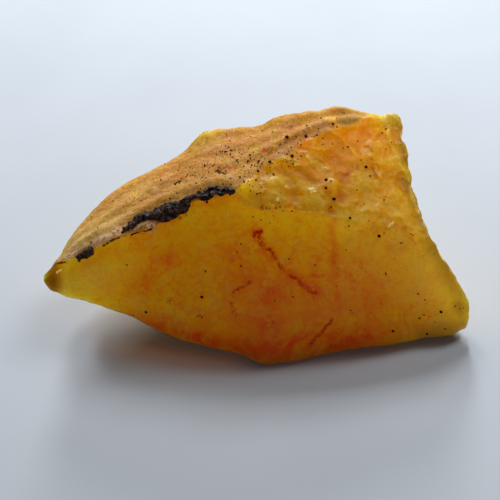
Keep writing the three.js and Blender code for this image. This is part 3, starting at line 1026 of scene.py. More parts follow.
TRACES = (
    # the long red vein of the front, from its hook down to its knots
    Trace(Mark.RUST, ((254, 236), (256, 232), (261, 231), (259, 236), (262, 244)), 0.22, 1.0),
    Trace(Mark.RUST, ((262, 244), (266, 249), (271, 250), (274, 256), (279, 263), (283, 270)), 0.17, 0.95),
    Trace(Mark.RUST, ((290, 276), (297, 279), (301, 284), (307, 288), (312, 292), (316, 293)), 0.17, 1.0),
    Trace(Mark.ORANGE, ((256, 230), (266, 249), (283, 270), (297, 279), (316, 293)), 0.6, 0.8),
    Trace(Mark.ORANGE, ((299, 278), (311, 276), (325, 276)), 0.16, 0.7),
    # the short dark red vein under it
    Trace(Mark.RUST, ((333, 320), (327, 326), (324, 331), (317, 337), (311, 344)), 0.2, 0.9),
    # faint veins that run down the front
    Trace(Mark.ORANGE, ((241, 257), (241, 266), (242, 275)), 0.12, 0.9),
    Trace(Mark.RUST, ((251, 281), (244, 286), (232, 292), (232, 306), (234, 313)), 0.2, 0.6),
    Trace(Mark.RUST, ((333, 262), (338, 268), (336, 280), (337, 293)), 0.1, 0.45),
    Trace(
        Mark.ORANGE, ((333, 218), (331, 234), (336, 250), (333, 262), (338, 272), (335, 284), (338, 300)),
        0.4, 0.55,
    ),
    # orange stains in the broken face
    Trace(Mark.ORANGE, ((342, 182), (345, 177), (350, 171), (356, 168)), 0.34, 1.0),
    Trace(Mark.ORANGE, ((332, 210), (338, 203), (341, 195), (340, 186)), 0.4, 0.75),
    Trace(Mark.ORANGE, ((366, 162), (371, 160), (373, 166), (377, 175)), 0.26, 0.9),
    Trace(Mark.ORANGE, ((303, 172), (314, 177), (322, 182), (328, 190)), 0.5, 0.5),
    Trace(Mark.BROWN, ((367, 147), (370, 149), (372, 152)), 0.14, 0.7, 0.05),
    Trace(
        Mark.RICH, ((262, 166), (272, 172), (280, 170), (288, 176), (294, 186), (296, 198)),
        0.6, 0.9, 0.12,
    ),
    Trace(Mark.RICH, ((262, 186), (258, 178), (264, 168)), 0.7, 0.8, 0.1),
    Trace(Mark.RICH, ((298, 170), (318, 184), (328, 200), (330, 212)), 0.6, 0.7, 0.1),
    Trace(Mark.RICH, ((388, 132), (391, 142), (396, 152)), 0.5, 0.8, 0.1),
    # the skin's orange streaks
    Trace(
        Mark.ORANGE, ((170, 178), (178, 174), (188, 169), (198, 166), (207, 165), (218, 165), (233, 169)),
        0.3, 1.0,
    ),
    Trace(Mark.ORANGE, ((153, 194), (163, 192), (173, 191), (181, 192)), 0.14, 0.9),
    Trace(Mark.ORANGE, ((250, 124), (265, 119), (280, 117), (296, 117)), 0.35, 0.8),
    Trace(Mark.RUST, ((296, 116), (304, 113), (313, 112)), 0.16, 0.5),
    Trace(Mark.ORANGE, ((330, 112), (350, 112), (362, 115), (368, 120)), 0.4, 0.9),
    # painted glow where light shines through under the crease and near the left end
    Trace(Mark.GLOW, ((248, 214), (270, 220), (300, 222), (330, 226)), 1.6, 0.85),
    Trace(Mark.GLOW, ((345, 232), (370, 242), (395, 246), (420, 262)), 1.8, 0.6),
    Trace(Mark.GLOW, ((70, 270), (90, 268), (120, 262)), 1.5, 0.5),
    # the clay that fills the ridge, and the open seam under it
    Trace(
        Mark.CLAY,
        ((57, 261), (67, 256), (75, 253), (83, 248), (97, 242), (109, 236), (120, 231), (127, 228)),
        0.4, 0.95, -0.08,
    ),
    Trace(Mark.CLAY, ((138, 227), (146, 224), (155, 224)), 0.4, 0.7, -0.08),
    Trace(Mark.DIRT, ((103, 246), (111, 241), (120, 237)), 0.1, 1.0, 0.12),
    Trace(Mark.DIRT, ((131, 235), (138, 232), (146, 231), (153, 229)), 0.09, 0.9, 0.1),
    # painted glints of the broken face, and the pale curls beside them, which are partly painted highlight
    Trace(Mark.CHALK, ((388, 227), (390, 225), (393, 223)), 0.12, 0.9),
    Trace(Mark.CHALK, ((57, 273), (59, 271), (62, 270)), 0.12, 1.0),
    Trace(Mark.CHALK, ((323, 167), (326, 168), (328, 169)), 0.11, 0.65),
    Trace(Mark.CHALK, ((294, 165), (299, 165)), 0.1, 0.65),
    Trace(Mark.PALE, ((281, 158), (288, 161), (296, 165), (301, 165)), 0.25, 0.9, -0.08),
    Trace(Mark.PALE, ((309, 158), (312, 163), (318, 165), (322, 166), (328, 169)), 0.25, 0.9, -0.08),
    Trace(Mark.PALE, ((362, 150), (366, 153), (372, 156)), 0.16, 0.8, -0.05),
    Trace(Mark.PALE, ((374, 165), (377, 171), (380, 178)), 0.16, 0.9, -0.05),
    # pale edges at the broken face's foot and at the right end
    Trace(Mark.PALE, ((235, 192), (241, 198), (250, 203), (262, 207)), 0.4, 0.9),
    # a painted highlight along the crease's edge
    Trace(
        Mark.PALE,
        ((262, 207), (275, 208), (288, 211), (296, 212), (312, 213), (328, 215), (337, 217), (350, 219)),
        0.14, 0.6, -0.06,
    ),
    Trace(Mark.PALE, ((387, 127), (391, 141), (397, 155), (401, 166), (409, 180)), 0.17, 1.0, -0.1),
    Trace(Mark.PALE, ((384, 202), (394, 210), (403, 220), (407, 227)), 0.16, 0.9, -0.06),
    # a painted highlight along the right rim
    Trace(Mark.PALE, ((410, 181), (414, 198), (421, 214), (433, 237)), 0.15, 1.0, -0.06),
    Trace(Mark.BROWN, ((402, 141), (404, 152), (407, 162)), 0.3, 0.7),
    # the edge sunk at the right and darkened with painted shade, and lifted along the crest
    Trace(Mark.THIN, ((402, 130), (406, 150), (409, 170), (411, 185)), 1.1, 0.45),
    Trace(Mark.THIN, ((411, 185), (420, 204), (430, 222), (441, 245), (453, 268)), 1.1, 0.9, 0.16),
    Trace(Mark.THIN, ((453, 268), (464, 292), (468, 306), (462, 322), (446, 334), (425, 338)), 1.3, 0.85),
    Trace(
        Mark.SKIN, ((205, 136), (230, 134), (250, 129), (270, 125), (290, 121), (312, 116)),
        0.9, 0.4, -0.22,
    ),
    Trace(Mark.SKIN, ((222, 134), (230, 133), (238, 131)), 0.8, 0.4, -0.2),
    Trace(Mark.SKIN, ((276, 121), (284, 119), (292, 117)), 0.8, 0.4, -0.25),
    Trace(Mark.SKIN, ((310, 113), (322, 110), (334, 109)), 0.8, 0.4, -0.2),
    # the brown glassy tip and the dirt along the lower left edge
    Trace(Mark.DIRT, ((55, 265), (58, 264), (61, 263), (66, 262)), 0.12, 0.8),
    Trace(
        Mark.DIRT, ((60, 293), (70, 298), (83, 301), (93, 304), (101, 308), (111, 310), (117, 311)),
        0.14, 0.9,
    ),
    Trace(Mark.BROWN, ((117, 311), (129, 317), (146, 329)), 0.16, 0.7),
    # slits in the skin
    Trace(Mark.DIRT, ((174, 184), (177, 182), (180, 181)), 0.12, 1.0, 0.12),
    Trace(Mark.DIRT, ((133, 211), (138, 209)), 0.1, 1.0, 0.1),
    Trace(Mark.DIRT, ((139, 201), (147, 198), (156, 195)), 0.06, 0.7, 0.08),
    Trace(Mark.DIRT, ((217, 170), (221, 173), (225, 174)), 0.2, 0.9, 0.1),
)

BLOTCHES = {
    Mark.GLOSS: blotches(
        (60, 272, 0.35, 1.0), (66, 288, 0.2, 1.0), (276, 197, 0.4, 0.4), (286, 187, 0.3, 0.4),
        (313, 191, 0.3, 0.4), (291, 162, 0.6, 0.4), (318, 165, 0.6, 0.4), (390, 227, 0.7, 0.8),
    ),
    # painted glints: small near-white spots that stand for highlights
    Mark.CHALK: blotches(
        (278, 199, 0.16, 1.0), (273, 205, 0.12, 0.9), (286, 187, 0.14, 0.75), (277, 178, 0.18, 0.6),
        (283, 192, 0.14, 0.6), (311, 193, 0.13, 0.85), (315, 192, 0.13, 0.85), (303, 188, 0.14, 0.6),
        (335, 216, 0.1, 0.8), (315, 209, 0.1, 0.7), (307, 157, 0.22, 0.62), (379, 141, 0.2, 0.55),
        (66, 288, 0.1, 0.8), (171, 229, 0.16, 0.65), (167, 226, 0.12, 0.6), (192, 225, 0.12, 0.6),
        (193, 216, 0.14, 0.6), (227, 214, 0.12, 0.6), (161, 239, 0.12, 0.65), (140, 224, 0.4, 0.75),
        (146, 220, 0.3, 0.6),
    ),
    # painted shade on the thin top right corner and the lower right tip
    Mark.THIN: blotches((394, 117, 2.2, 1.0), (450, 325, 1.8, 0.4, -0.75)),
    Mark.BARE: blotches(
        (331, 118, 0.5, 0.9), (340, 128, 0.6, 0.9), (300, 148, 0.5, 0.8), (206, 136, 1.0, 0.6),
    ),
    Mark.AMBER: blotches(
        (262, 345, 6.0, 0.8), (322, 322, 6.0, 0.62), (275, 300, 3.2, 0.7), (238, 292, 2.6, 0.5),
        (310, 285, 2.6, 0.4), (215, 335, 4.0, 0.6), (169, 261, 0.7, 0.45),
    ),
    Mark.RUST: blotches(
        (269, 323, 1.1, 0.35), (336, 346, 0.7, 0.5), (170, 301, 0.5, 0.4), (236, 313, 0.5, 0.45),
        (265, 150, 0.3, 0.8), (262, 207, 0.25, 0.9),
    ),
    Mark.ORANGE: blotches((374, 308, 2.0, 0.5), (146, 286, 1.2, 0.5), (247, 283, 0.6, 0.6)),
    Mark.HAZE: blotches(
        (72, 280, 1.7, 0.55), (92, 276, 1.6, 0.6), (409, 262, 1.6, 0.5), (426, 285, 2.2, 0.7),
        (450, 300, 2.2, 0.7), (404, 238, 2.4, 0.75), (368, 250, 4.0, 0.3), (398, 270, 3.0, 0.3),
        (424, 258, 2.2, 0.8), (440, 282, 2.0, 0.8), (66, 287, 1.5, 0.4, -0.5),
    ),
    # painted glow where light shines through
    Mark.GLOW: blotches(
        (268, 216, 2.4, 0.8), (82, 243, 2.2, 1.0), (102, 230, 2.2, 0.8), (135, 196, 2.4, 0.3),
        (190, 216, 2.6, 0.8), (222, 209, 2.2, 0.8), (375, 128, 3.0, 0.6), (350, 130, 2.0, 0.5),
    ),
    Mark.PALE: blotches(
        (252, 196, 0.9, 0.75), (266, 202, 0.8, 0.7), (278, 180, 1.1, 0.6), (274, 193, 1.1, 0.65),
        (313, 200, 1.4, 0.75, -0.1), (305, 188, 0.9, 0.6), (345, 213, 1.1, 0.6), (372, 200, 1.1, 0.55),
        (362, 181, 1.5, 0.7), (378, 142, 0.9, 0.7), (360, 215, 1.3, 0.6), (291, 162, 0.8, 0.6),
        (318, 165, 0.9, 0.6), (388, 118, 1.5, 0.9), (395, 118, 1.0, 0.3, -0.3),
        (206, 142, 1.6, 0.75, -0.6),
    ),
    Mark.RICH: blotches((332, 139, 1.4, 0.8, 0.1), (348, 134, 1.0, 0.7, 0.1), (350, 195, 0.8, 0.6, 0.05)),
    Mark.CLAY: blotches((72, 251, 0.9, 0.6), (88, 245, 0.7, 0.5), (148, 226, 0.8, 0.6, -0.1)),
    Mark.BROWN: blotches((180, 218, 0.16, 0.8), (186, 215, 0.12, 0.7)),
}

# how thickly pepper is strewn in patches of the skin and of the broken face
PEPPER = blotches(
    (232, 163, 2.6, 2.4), (258, 163, 1.8, 3.0), (250, 178, 1.4, 3.0), (205, 175, 2.6, 1.2),
    (290, 156, 1.0, 4.0), (310, 137, 1.4, 1.6), (270, 208, 1.2, 1.4), (190, 182, 1.5, 1.0),
    (128, 206, 1.5, 1.0),
)

BIG_SPECKS = (
    (259, 161), (270, 162), (258, 171), (287, 137), (306, 136), (333, 124), (326, 180), (326, 188),
    (334, 199), (366, 167), (350, 218), (379, 236), (393, 331), (427, 334), (202, 297), (146, 312),
    (292, 156), (441, 312),
)
SMALL_SPECKS = (
    (273, 132), (296, 136), (312, 137), (317, 135), (321, 118), (337, 118), (337, 127), (343, 148),
    (348, 147), (331, 181), (361, 160), (370, 176), (357, 190), (364, 204), (384, 200), (386, 149),
    (382, 133), (386, 129), (267, 173), (293, 164), (287, 154), (257, 194), (260, 193), (269, 209),
    (276, 208), (280, 207), (283, 211), (292, 211), (261, 220), (331, 207), (349, 226), (384, 233),
    (401, 243), (411, 234), (413, 235), (241, 244), (237, 252), (289, 259), (315, 265), (346, 250),
    (293, 297), (425, 300), (418, 294), (424, 315), (420, 318), (445, 329), (460, 309), (463, 308),
    (127, 265), (134, 315), (241, 266), (98, 228), (113, 201), (161, 180), (209, 172), (248, 161),
    (225, 152), (235, 150), (250, 155), (244, 166), (233, 157), (240, 177), (244, 181), (256, 180),
    (223, 184), (177, 193), (205, 166), (198, 316), (200, 315), (202, 317),
)


@dataclass(frozen=True)
class Zones:
    """Where the kinds of surface lie on the stone.

    Each band says where a smooth step is 0 and where it is 1: in millimetres along the stone, behind a line
    over it or above the ground, or as a share of an outward direction.
    """

    up: Band = (0.05, 0.4)  # faces that look up
    front: Band = (-0.1, -0.5)  # faces that look forward
    back: Band = (0.2, 0.6)  # faces that look back
    right: Band = (0.6, 0.85)  # faces that look to the right
    skin: Band = (-0.2, 0.3)  # behind the ridge
    skin_right: Band = (11.3, 10.3)
    skin_left: Band = (-18.6, -17.2)
    skin_patches: Band = (-0.1, 0.4)  # the parts of the back that keep their skin, as cloud values
    patch_size: float = 5.0
    break_left: Band = (-1.6, 0.6)
    break_right: Band = (19.0, 15.0)
    break_slant: float = 0.25
    break_back: float = 0.6  # how much of it the bare parts of the back have
    lip: Band = (0.2, 2.8)  # how softly the broken face starts behind the crease, at its left and right
    lip_widens: Band = (4.0, 11.0)
    lip_wander: tuple[float, float] = (1.3, 0.4)  # the size and height of its bays
    amber_left: Band = (-17.0, -8.0)
    amber_right: Band = (19.0, 9.0)
    amber_low: Band = (6.0, 1.5)
    brown: Band = (-17.4, -18.9)
    brown_share: float = 0.95
    clear: Band = (-15.0, -16.4)
    haze_share: float = 0.5
    thin: Band = (8.5, 2.5)  # thicknesses
    thin_left: Band = (-14.0, -8.0)
    thin_share: float = 0.3  # how much of it is left at the left
    # painted shade near the ground
    foot: Band = (2.0, 0.2)
    foot_share: float = 0.5
    # where the painted sparkle lies
    spark_front: Band = (-3.2, -1.4)  # behind the ridge
    spark_back: Band = (0.1, -0.3)
    spark_right: Band = (-3.0, -6.0)
    worn: Band = (0.05, 0.8)  # above the ground


@dataclass
class Stone:
    """The sapphire itself: its form, its wear and its marks.

    The ridge and the crease are lines of view points that part its surfaces.
    """

    sight: Sight
    voxel: float = 0.165
    smoothing: int = 3
    wear: Wear = Wear()
    ridge: tuple[Point, ...] = (
        (50, 269), (54, 266), (60, 263), (68, 260), (76, 258), (86, 256), (97, 249), (103, 246),
        (111, 241), (120, 237), (131, 235), (138, 232), (146, 231), (153, 229), (160, 224), (166, 220),
        (173, 219), (180, 212), (187, 207), (200, 199), (215, 196), (232, 194), (239, 188), (250, 179),
        (258, 171), (264, 165), (275, 160), (288, 156), (296, 148), (304, 141), (318, 136), (330, 132),
        (345, 126), (358, 122), (368, 118),
    )
    crease: tuple[Point, ...] = (
        (235, 191), (241, 198), (250, 203), (262, 207), (288, 211), (312, 213), (337, 217), (373, 228),
        (430, 237),
    )
    middle: Point = (255, 230)
    reach: int = 14  # how many view points a mark may be drawn in from off the stone's edge
    zones: Zones = Zones()
    nub: Band = (-18.5, -19.9)
    nub_pinch: float = 0.5  # how much narrower the left end gets
    thick: float = 20.0  # taken where nothing is found behind a vertex
    softening: int = 40  # how many times the thickness is spread
    pepper_top: float = 0.04
    pepper_skin: float = 0.05
    piece: bpy.types.Object = field(init=False)
    tree: BVHTree = field(init=False)

    def on_surface(self, points: tuple[Point, ...]) -> list[Vector]:
        """Find the places on the stone behind view points; those just off its edge are drawn in to it.

        Args:
            points: The view points.

        Returns:
            The places, in millimetres.
        """
        found = []
        for across, down in points:
            inward = Vector((self.middle[0] - across, self.middle[1] - down)).normalized()
            for shift in range(self.reach):
                point = (across + inward.x * shift, down + inward.y * shift)
                hit = self.tree.ray_cast(self.sight.eye, self.sight.ray(point))[0]
                if hit is not None:
                    found.append(hit)
                    break
        return found

    def build(self) -> None:
        """Make the stone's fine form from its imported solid."""
        self.piece = copy_node("sapphire", "sapphire_stone")
        refine(self.piece, self.voxel, self.smoothing)
        place = places(self.piece)
        end = place[place[:, 0] < self.nub[0], 1:].mean(axis=0)
        pinch = self.nub_pinch * step(place[:, 0], *self.nub)
        place[:, 1:] = end + (place[:, 1:] - end) * (1.0 - pinch)[:, None]
        self.settle(place)

    def mark_out(self) -> None:
        """Keep on the mesh the numbers that the weathering and the material read."""
        place, outward = places(self.piece), directions(self.piece)
        zones, along, height = self.zones, place[:, 0], place[:, 2]
        ridge, crease = (np.array(self.on_surface(line)) for line in (self.ridge, self.crease))
        behind_ridge = place[:, 1] - np.interp(along, ridge[:, 0], ridge[:, 1])
        behind_crease = place[:, 1] - np.interp(along, crease[:, 0], crease[:, 1])
        upward = step(outward[:, 2], *zones.up)
        front = step(outward[:, 1], *zones.front)
        hidden = step(outward[:, 1], *zones.back) * (1 - upward)
        end = step(outward[:, 0], *zones.right)
        on_skin = step(behind_ridge, *zones.skin) * upward * step(along, *zones.skin_right)
        lip = zones.lip[0] + (zones.lip[1] - zones.lip[0]) * step(along, *zones.lip_widens)
        bay_size, bay_height = zones.lip_wander
        behind_crease += bay_height * clouds(place, bay_size)
        broken = step(along, *zones.break_left) * step(behind_crease, -lip, lip + 0.1)
        broken *= (1 - on_skin) * upward
        broken *= step(along + zones.break_slant * place[:, 1], *zones.break_right)

        marks = {mark: np.zeros(len(place)) for mark in Mark}
        covered = step(clouds(place, zones.patch_size), *zones.skin_patches)
        marks[Mark.SKIN] = np.maximum(on_skin * step(along, *zones.skin_left), hidden * covered)
        marks[Mark.BROKEN] = np.maximum(broken, zones.break_back * hidden * (1 - covered))
        middle = step(along, *zones.amber_left) * step(along, *zones.amber_right)
        # deep orange on the low front: the crystal's own colour, partly painted shade
        marks[Mark.AMBER] = front * step(height, *zones.amber_low) * middle
        marks[Mark.BROWN] = zones.brown_share * step(along, *zones.brown)
        marks[Mark.CLEAR] = step(along, *zones.clear)
        marks[Mark.HAZE] = zones.haze_share * end
        # painted shade on thin parts and near the ground
        thin = self.soften(step(self.thickness(place, outward), *zones.thin))
        thin *= zones.thin_share + (1 - zones.thin_share) * step(along, *zones.thin_left)
        marks[Mark.THIN] = np.maximum(thin, zones.foot_share * step(height, *zones.foot))
        # painted sparkle on the front, under the ridge
        under_ridge = step(behind_ridge, *zones.spark_front) * step(behind_ridge, *zones.spark_back)
        marks[Mark.SPARK] = front * under_ridge * step(along, *zones.spark_right)
        groove = self.add_marks(place, marks)
        for mark, values in marks.items():
            keep(self.piece, mark.value, np.clip(values, 0.0, 1.0))

        pepper = self.pepper_top * upward + self.pepper_skin * on_skin
        for spot in PEPPER:
            pepper = np.maximum(pepper, spot.strength * self.patch(place, spot) * upward)
        keep(self.piece, "pepper", pepper)
        keep(self.piece, "ledged", on_skin)
        keep(self.piece, "chipped", np.clip(broken + 1.2 * hidden + end + 0.25, 0.0, 1.5))
        keep(self.piece, "grainy", 0.35 + on_skin + 0.5 * broken)
        keep(self.piece, "worn", step(height, *zones.worn))
        keep(self.piece, "groove", groove)

    def add_marks(self, place: np.ndarray, marks: dict[Mark, np.ndarray]) -> np.ndarray:
        """Lay the lines and patches over the zones' marks, and bare the skin where they say so.

        Args:
            place: The vertices' places, one row each.
            marks: Each mark's values, which are changed.

        Returns:
            How deep each vertex is cut by the lines and patches, in millimetres.
        """
        groove = np.zeros(len(place))
        shares = [
            (trace.mark, trace, np.exp(-((self.distance_to(place, trace.points) / trace.width) ** 2)))
            for trace in TRACES
        ]
        for mark, spots in BLOTCHES.items():
            shares += [(mark, spot, self.patch(place, spot)) for spot in spots]
        for mark, shape, share in shares:
            marks[mark] = np.maximum(marks[mark], shape.strength * share)
            groove += shape.depth * share
        marks[Mark.SKIN] *= 1.0 - marks[Mark.BARE]
        marks[Mark.BROKEN] = np.maximum(marks[Mark.BROKEN], marks[Mark.BARE])
        return groove

    def thickness(self, place: np.ndarray, outward: np.ndarray) -> np.ndarray:
        """Measure how thick the stone is under each of its vertices.

        Args:
            place: The vertices' places, one row each.
            outward: Their outward directions.

        Returns:
            The thicknesses in millimetres.
        """
        found = np.empty(len(place))
        for index, (row, normal) in enumerate(zip(place, outward)):
            away = self.tree.ray_cast(Vector(row - normal * 0.05), Vector(-normal))[3]
            found[index] = self.thick if away is None else away
        return found

    def soften(self, values: np.ndarray) -> np.ndarray:
        """Spread each vertex's number over its neighbours, several times over."""
        ends = np.empty(len(self.piece.data.edges) * 2, dtype=np.int32)
        self.piece.data.edges.foreach_get("vertices", ends)
        first, second = ends.reshape(-1, 2).T
        count = np.bincount(ends, minlength=len(values))
        for _ in range(self.softening):
            total = np.bincount(first, values[second], len(values))
            total = total + np.bincount(second, values[first], len(values))
            values = 0.5 * values + 0.5 * total / count
        return values

    def patch(self, place: np.ndarray, blotch: Blotch) -> np.ndarray:
        """Give how much each place is within a round patch."""
        centre = np.array(self.on_surface((blotch.point,))[0])
        away = np.linalg.norm(place - centre, axis=1) / blotch.radius
        return np.exp(-away * away)

    def distance_to(self, place: np.ndarray, points: tuple[Point, ...]) -> np.ndarray:
        """Measure how far each place is from a line over the stone.

        Args:
            place: The places, one row each.
            points: The line's view points.

        Returns:
            The distances in millimetres.
        """
        line = np.array(self.on_surface(points))
        nearest = np.full(len(place), np.inf)
        for start, stop in zip(line[:-1], line[1:]):
            along = stop - start
            share = np.clip(((place - start) @ along) / max(along @ along, 1e-9), 0.0, 1.0)
            nearest = np.minimum(nearest, np.linalg.norm(place - start - share[:, None] * along, axis=1))
        return nearest

    def roughen(self, weather: bpy.types.NodeTree, material: bpy.types.Material) -> None:
        """Wear the stone and keep it above the ground."""
        self.wear.weather(self.piece, weather, material)
        place = places(self.piece)
        place[:, 2] = np.maximum(place[:, 2], 0.0)
        self.settle(place)

    def settle(self, place: np.ndarray) -> None:
        """Move the stone's vertices to these places and take note of the new surface."""
        self.piece.data.vertices.foreach_set("co", place.astype(np.float32).ravel())
        self.piece.data.update()
        self.tree = BVHTree.FromObject(self.piece, bpy.context.evaluated_depsgraph_get())

    def dress(self, material: bpy.types.Material) -> None:
        """Hang the finished stone on the frame."""
        finish_piece(self.piece, material, "sapphire", "sapphire")


# ---------------------------------------------------------------- the crusts


@dataclass
class Crust:
    """A dark crust that has grown onto the stone.

    Its lumps and pits are at view points, with a radius in millimetres and, for a pit, a depth.
    """

    node: str
    name: str
    lumps: tuple[tuple[Point, float], ...] = ()
    pits: tuple[tuple[Point, float, float], ...] = ()
    scale: float = 1.0
    shift: tuple[float, float, float] = (0.0, 0.0, 0.0)
    voxel: float = 0.06
    sink: float = 0.42  # how far the crust is let down
    sink_share: float = 0.55  # how much of it still counts far from the stone
    far: float = 1.2
    lump_rise: float = 0.3  # how far a lump's centre is above the stone, as a part of its radius
    wear: Wear = Wear(
        swell_size=0.7, swell_height=0.1, ledge_size=0.8, ledge_height=0.15, ledge_count=4.0, chip_size=0.45,
        chip_depth=0.16, grain_size=0.25, grain_height=0.1,
    )
    piece: bpy.types.Object = field(init=False)

    def build(self, stone: Stone) -> None:
        """Make the crust's form and let it down onto the stone.

        Args:
            stone: The stone that carries it.
        """
        self.piece = copy_node(self.node, self.name)
        place = places(self.piece)
        middle = place.mean(axis=0)
        place = middle + (place - middle) * self.scale + np.array(self.shift)
        for row in place:
            found, outward, _, away = stone.tree.find_nearest(Vector(row))
            share = 1.0 - min(away / self.far, 1.0)
            row -= np.array(outward) * (self.sink * (self.sink_share + (1.0 - self.sink_share) * share))
        self.piece.data.vertices.foreach_set("co", place.astype(np.float32).ravel())
        self.add_lumps(stone)
        refine(self.piece, self.voxel, 1)
        place = places(self.piece)
        groove = np.zeros(len(place))
        for point, radius, depth in self.pits:
            centre = np.array(stone.on_surface((point,))[0])
            away = np.linalg.norm(place - centre, axis=1) / radius
            groove += depth * np.exp(-(away**4))
        for name in ("ledged", "chipped", "grainy", "worn"):
            keep(self.piece, name, np.ones(len(place)))
        keep(self.piece, "groove", groove)

    def add_lumps(self, stone: Stone) -> None:
        """Join round lumps to the crust, which the fine mesh then makes one with it."""
        form = bmesh.new()
        form.from_mesh(self.piece.data)
        for point, radius in self.lumps:
            place = stone.on_surface((point,))[0]
            _, outward, _, _ = stone.tree.find_nearest(place)
            centre = Matrix.Translation(place + outward * (self.lump_rise * radius))
            bmesh.ops.create_icosphere(form, subdivisions=2, radius=radius, matrix=centre)
        form.to_mesh(self.piece.data)
        form.free()

    def dress(self, weather: bpy.types.NodeTree, material: bpy.types.Material) -> None:
        """Wear the crust and hang it on the frame."""
        self.wear.weather(self.piece, weather, material)
        finish_piece(self.piece, material, "dark_crust", self.node)


RIDGE_CRUST = Crust(
    "ridge_crust",
    "ridge_crust_lumps",
    lumps=(
        ((231, 192), 0.36), ((226, 191), 0.4), ((219, 190), 0.34), ((212, 190), 0.34), ((207, 192), 0.28),
        ((203, 196), 0.22), ((205, 199), 0.16), ((207, 202), 0.1), ((199, 194), 0.24), ((193, 197), 0.26),
        ((187, 201), 0.34), ((186, 207), 0.22), ((177, 212), 0.34), ((168, 218), 0.3), ((160, 219), 0.28),
        ((146, 216), 0.34), ((136, 221), 0.24), ((130, 224), 0.16), ((124, 228), 0.11), ((118, 231), 0.1),
    ),
    pits=(
        ((195, 200), 0.4, 0.5), ((216, 196), 0.3, 0.3), ((152, 221), 0.5, 0.35), ((142, 225), 0.5, 0.5),
        ((167, 211), 0.22, 0.25), ((175, 204), 0.16, 0.16),
    ),
)
TIP_CRUST = Crust(
    "tip_crust", "tip_crust_lumps", lumps=(((91, 251), 0.36), ((77, 257), 0.14), ((80, 260), 0.12)),
    pits=(((80, 258), 0.22, 0.4),), scale=0.72, shift=(-0.3, 0.0, 0.0), sink=0.36,
)


# ---------------------------------------------------------------- the specks


def make_speck_tree() -> bpy.types.NodeTree:
    """Build the Geometry Nodes tree that sows dark grains over the stone.

    It scatters points where the stone's mesh asks for pepper, joins them to the points that it is given, and
    sets a small lump of random shape and turn on each.
    """
    inputs = {
        "Geometry": "Geometry", "Stone": "Object", "Density": 1.0,
        "Smallest": 0.03, "Largest": 0.09, "Seed": 1, "Material": "Material",
    }
    tree, start, end = open_group("specks", "GeometryNodeTree", inputs, {"Geometry": "Geometry"})
    given = start.outputs

    def chance(kind: str, low: Any, high: Any) -> Any:
        """Draw a random value for each point."""
        node = tree.add("FunctionNodeRandomValue", data_type=kind)
        first, second, output = {"FLOAT": (2, 3, 1), "FLOAT_VECTOR": (0, 1, 0)}[kind]
        for index, value in ((first, low), (second, high), (8, given["Seed"])):
            tree.feed(node.inputs[index], value)
        return node.outputs[output]

    stone = tree.add("GeometryNodeObjectInfo", {"Object": given["Stone"]}).outputs["Geometry"]
    density = tree.math("MULTIPLY", tree.held("pepper"), given["Density"])
    wires = {"Mesh": stone, "Density": density, "Seed": given["Seed"]}
    sown = tree.add("GeometryNodeDistributePointsOnFaces", wires).outputs["Points"]
    share = tree.math("POWER", chance("FLOAT", 0.0, 1.0), 2.5)
    span = tree.math("SUBTRACT", given["Largest"], given["Smallest"])
    size = tree.math("MULTIPLY_ADD", share, span, given["Smallest"])
    wires = {"Geometry": sown, "Name": "size", "Value": size}
    sown = tree.add("GeometryNodeStoreNamedAttribute", wires, data_type="FLOAT", domain="POINT").outputs[0]
    placed = tree.add("GeometryNodeMeshToPoints", {"Mesh": given["Geometry"]}).outputs[0]
    joined = tree.add("GeometryNodeJoinGeometry")
    for points in (sown, placed):
        tree.feed(joined.inputs[0], points)

    lump = tree.add("GeometryNodeMeshIcoSphere", {"Radius": 1.0, "Subdivisions": 2}).outputs[0]
    bumps = tree.add("ShaderNodeTexNoise", {"Scale": 1.3, "Detail": 1.0}).outputs[1]
    shift = tree.vector("SCALE", tree.vector("SUBTRACT", bumps, (0.5, 0.5, 0.5)), 1.4)
    lump = tree.add("GeometryNodeSetPosition", {"Geometry": lump, "Offset": shift}).outputs[0]
    size = tree.held("size")
    scale = tree.vector("SCALE", chance("FLOAT_VECTOR", (0.5, 0.5, 0.5), (1.8, 1.2, 0.9)), size)
    turn = chance("FLOAT_VECTOR", (0.0, 0.0, 0.0), (math.tau, math.tau, math.tau))
    wires = {"Points": joined.outputs[0], "Instance": lump, "Rotation": turn, "Scale": scale}
    lumps = tree.add("GeometryNodeInstanceOnPoints", wires).outputs[0]
    realized = tree.add("GeometryNodeRealizeInstances", {"Geometry": lumps}).outputs[0]
    dressed = tree.add("GeometryNodeSetMaterial", {"Geometry": realized, "Material": given["Material"]})
    tree.feed(end.inputs[0], dressed.outputs[0])
    return tree.tree


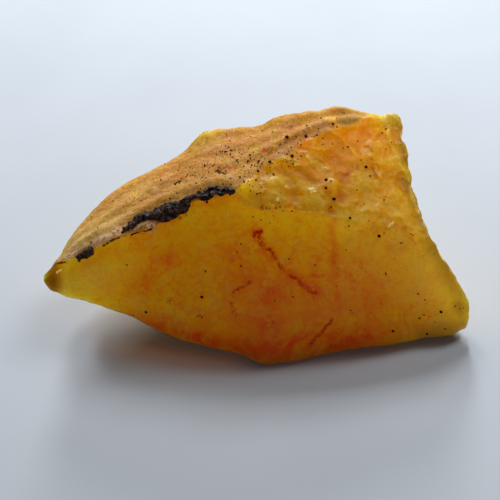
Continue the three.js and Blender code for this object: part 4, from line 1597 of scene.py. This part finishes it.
@dataclass
class Specks:
    """The dark grains that stick to the stone: some in their known places, the rest sown like pepper."""

    big: float = 0.2
    small: float = 0.11
    pepper: tuple[float, float] = (0.035, 0.1)
    density: float = 3.0
    seed: int = 7
    piece: bpy.types.Object = field(init=False)

    def build(self, stone: Stone, material: bpy.types.Material) -> None:
        """Set the grains on the stone.

        Args:
            stone: The stone that carries them.
            material: Their material.
        """
        spots, sizes = [], []
        for points, size in ((BIG_SPECKS, self.big), (SMALL_SPECKS, self.small)):
            found = stone.on_surface(points)
            spots += found
            sizes += [size * (0.8 + 0.4 * (index * 0.618 % 1.0)) for index in range(len(found))]
        mesh = bpy.data.meshes.new("specks")
        mesh.from_pydata(spots, [], [])
        self.piece = as_object("specks", mesh)
        keep(self.piece, "size", np.array(sizes))
        values = {
            "Stone": stone.piece, "Density": self.density, "Seed": self.seed,
            "Smallest": self.pepper[0], "Largest": self.pepper[1], "Material": material,
        }
        run_tree(self.piece, make_speck_tree(), values)

    def dress(self, material: bpy.types.Material) -> None:
        """Hang the specks on the frame."""
        finish_piece(self.piece, material, "dark_crust")


# ---------------------------------------------------------------- the floor


@dataclass(frozen=True)
class Floor:
    """The plain pale surface that the stone lies on."""

    half: float = 1500.0

    def lay(self, material: bpy.types.Material) -> bpy.types.Object:
        """Lay the floor.

        Args:
            material: Its material.

        Returns:
            The floor object.
        """
        reach = self.half * MM
        mesh = bpy.data.meshes.new("floor")
        corners = [(-reach, -reach, 0.0), (reach, -reach, 0.0), (reach, reach, 0.0), (-reach, reach, 0.0)]
        mesh.from_pydata(corners, [], [(0, 1, 2, 3)])
        mesh.materials.append(material)
        floor = as_object("floor", mesh)
        return floor


# ---------------------------------------------------------------- the whole


def main() -> None:
    """Build, dress and report every piece."""
    logging.basicConfig(level=logging.INFO, format="%(message)s")
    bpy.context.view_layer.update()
    sight = Sight()
    sight.make_camera()
    Studio().light_up()

    effects = Effects()
    stone_finish = SapphireFinish().make(effects)
    crust_finish = CrustFinish().make(effects)
    speck_finish = CrustFinish("specks", (12, 7, 4), (44, 28, 14), (60, 44, 30), 0.04).make(effects)
    Floor().lay(PaperFinish().make(effects))

    weather = make_weather_tree()
    stone = Stone(sight)
    stone.build()
    stone.mark_out()
    stone.roughen(weather, stone_finish)
    specks = Specks()
    specks.build(stone, speck_finish)
    for crust in (RIDGE_CRUST, TIP_CRUST):
        crust.build(stone)
        crust.dress(weather, crust_finish)
    stone.dress(stone_finish)
    specks.dress(speck_finish)


if __name__ == "__main__":
    main()
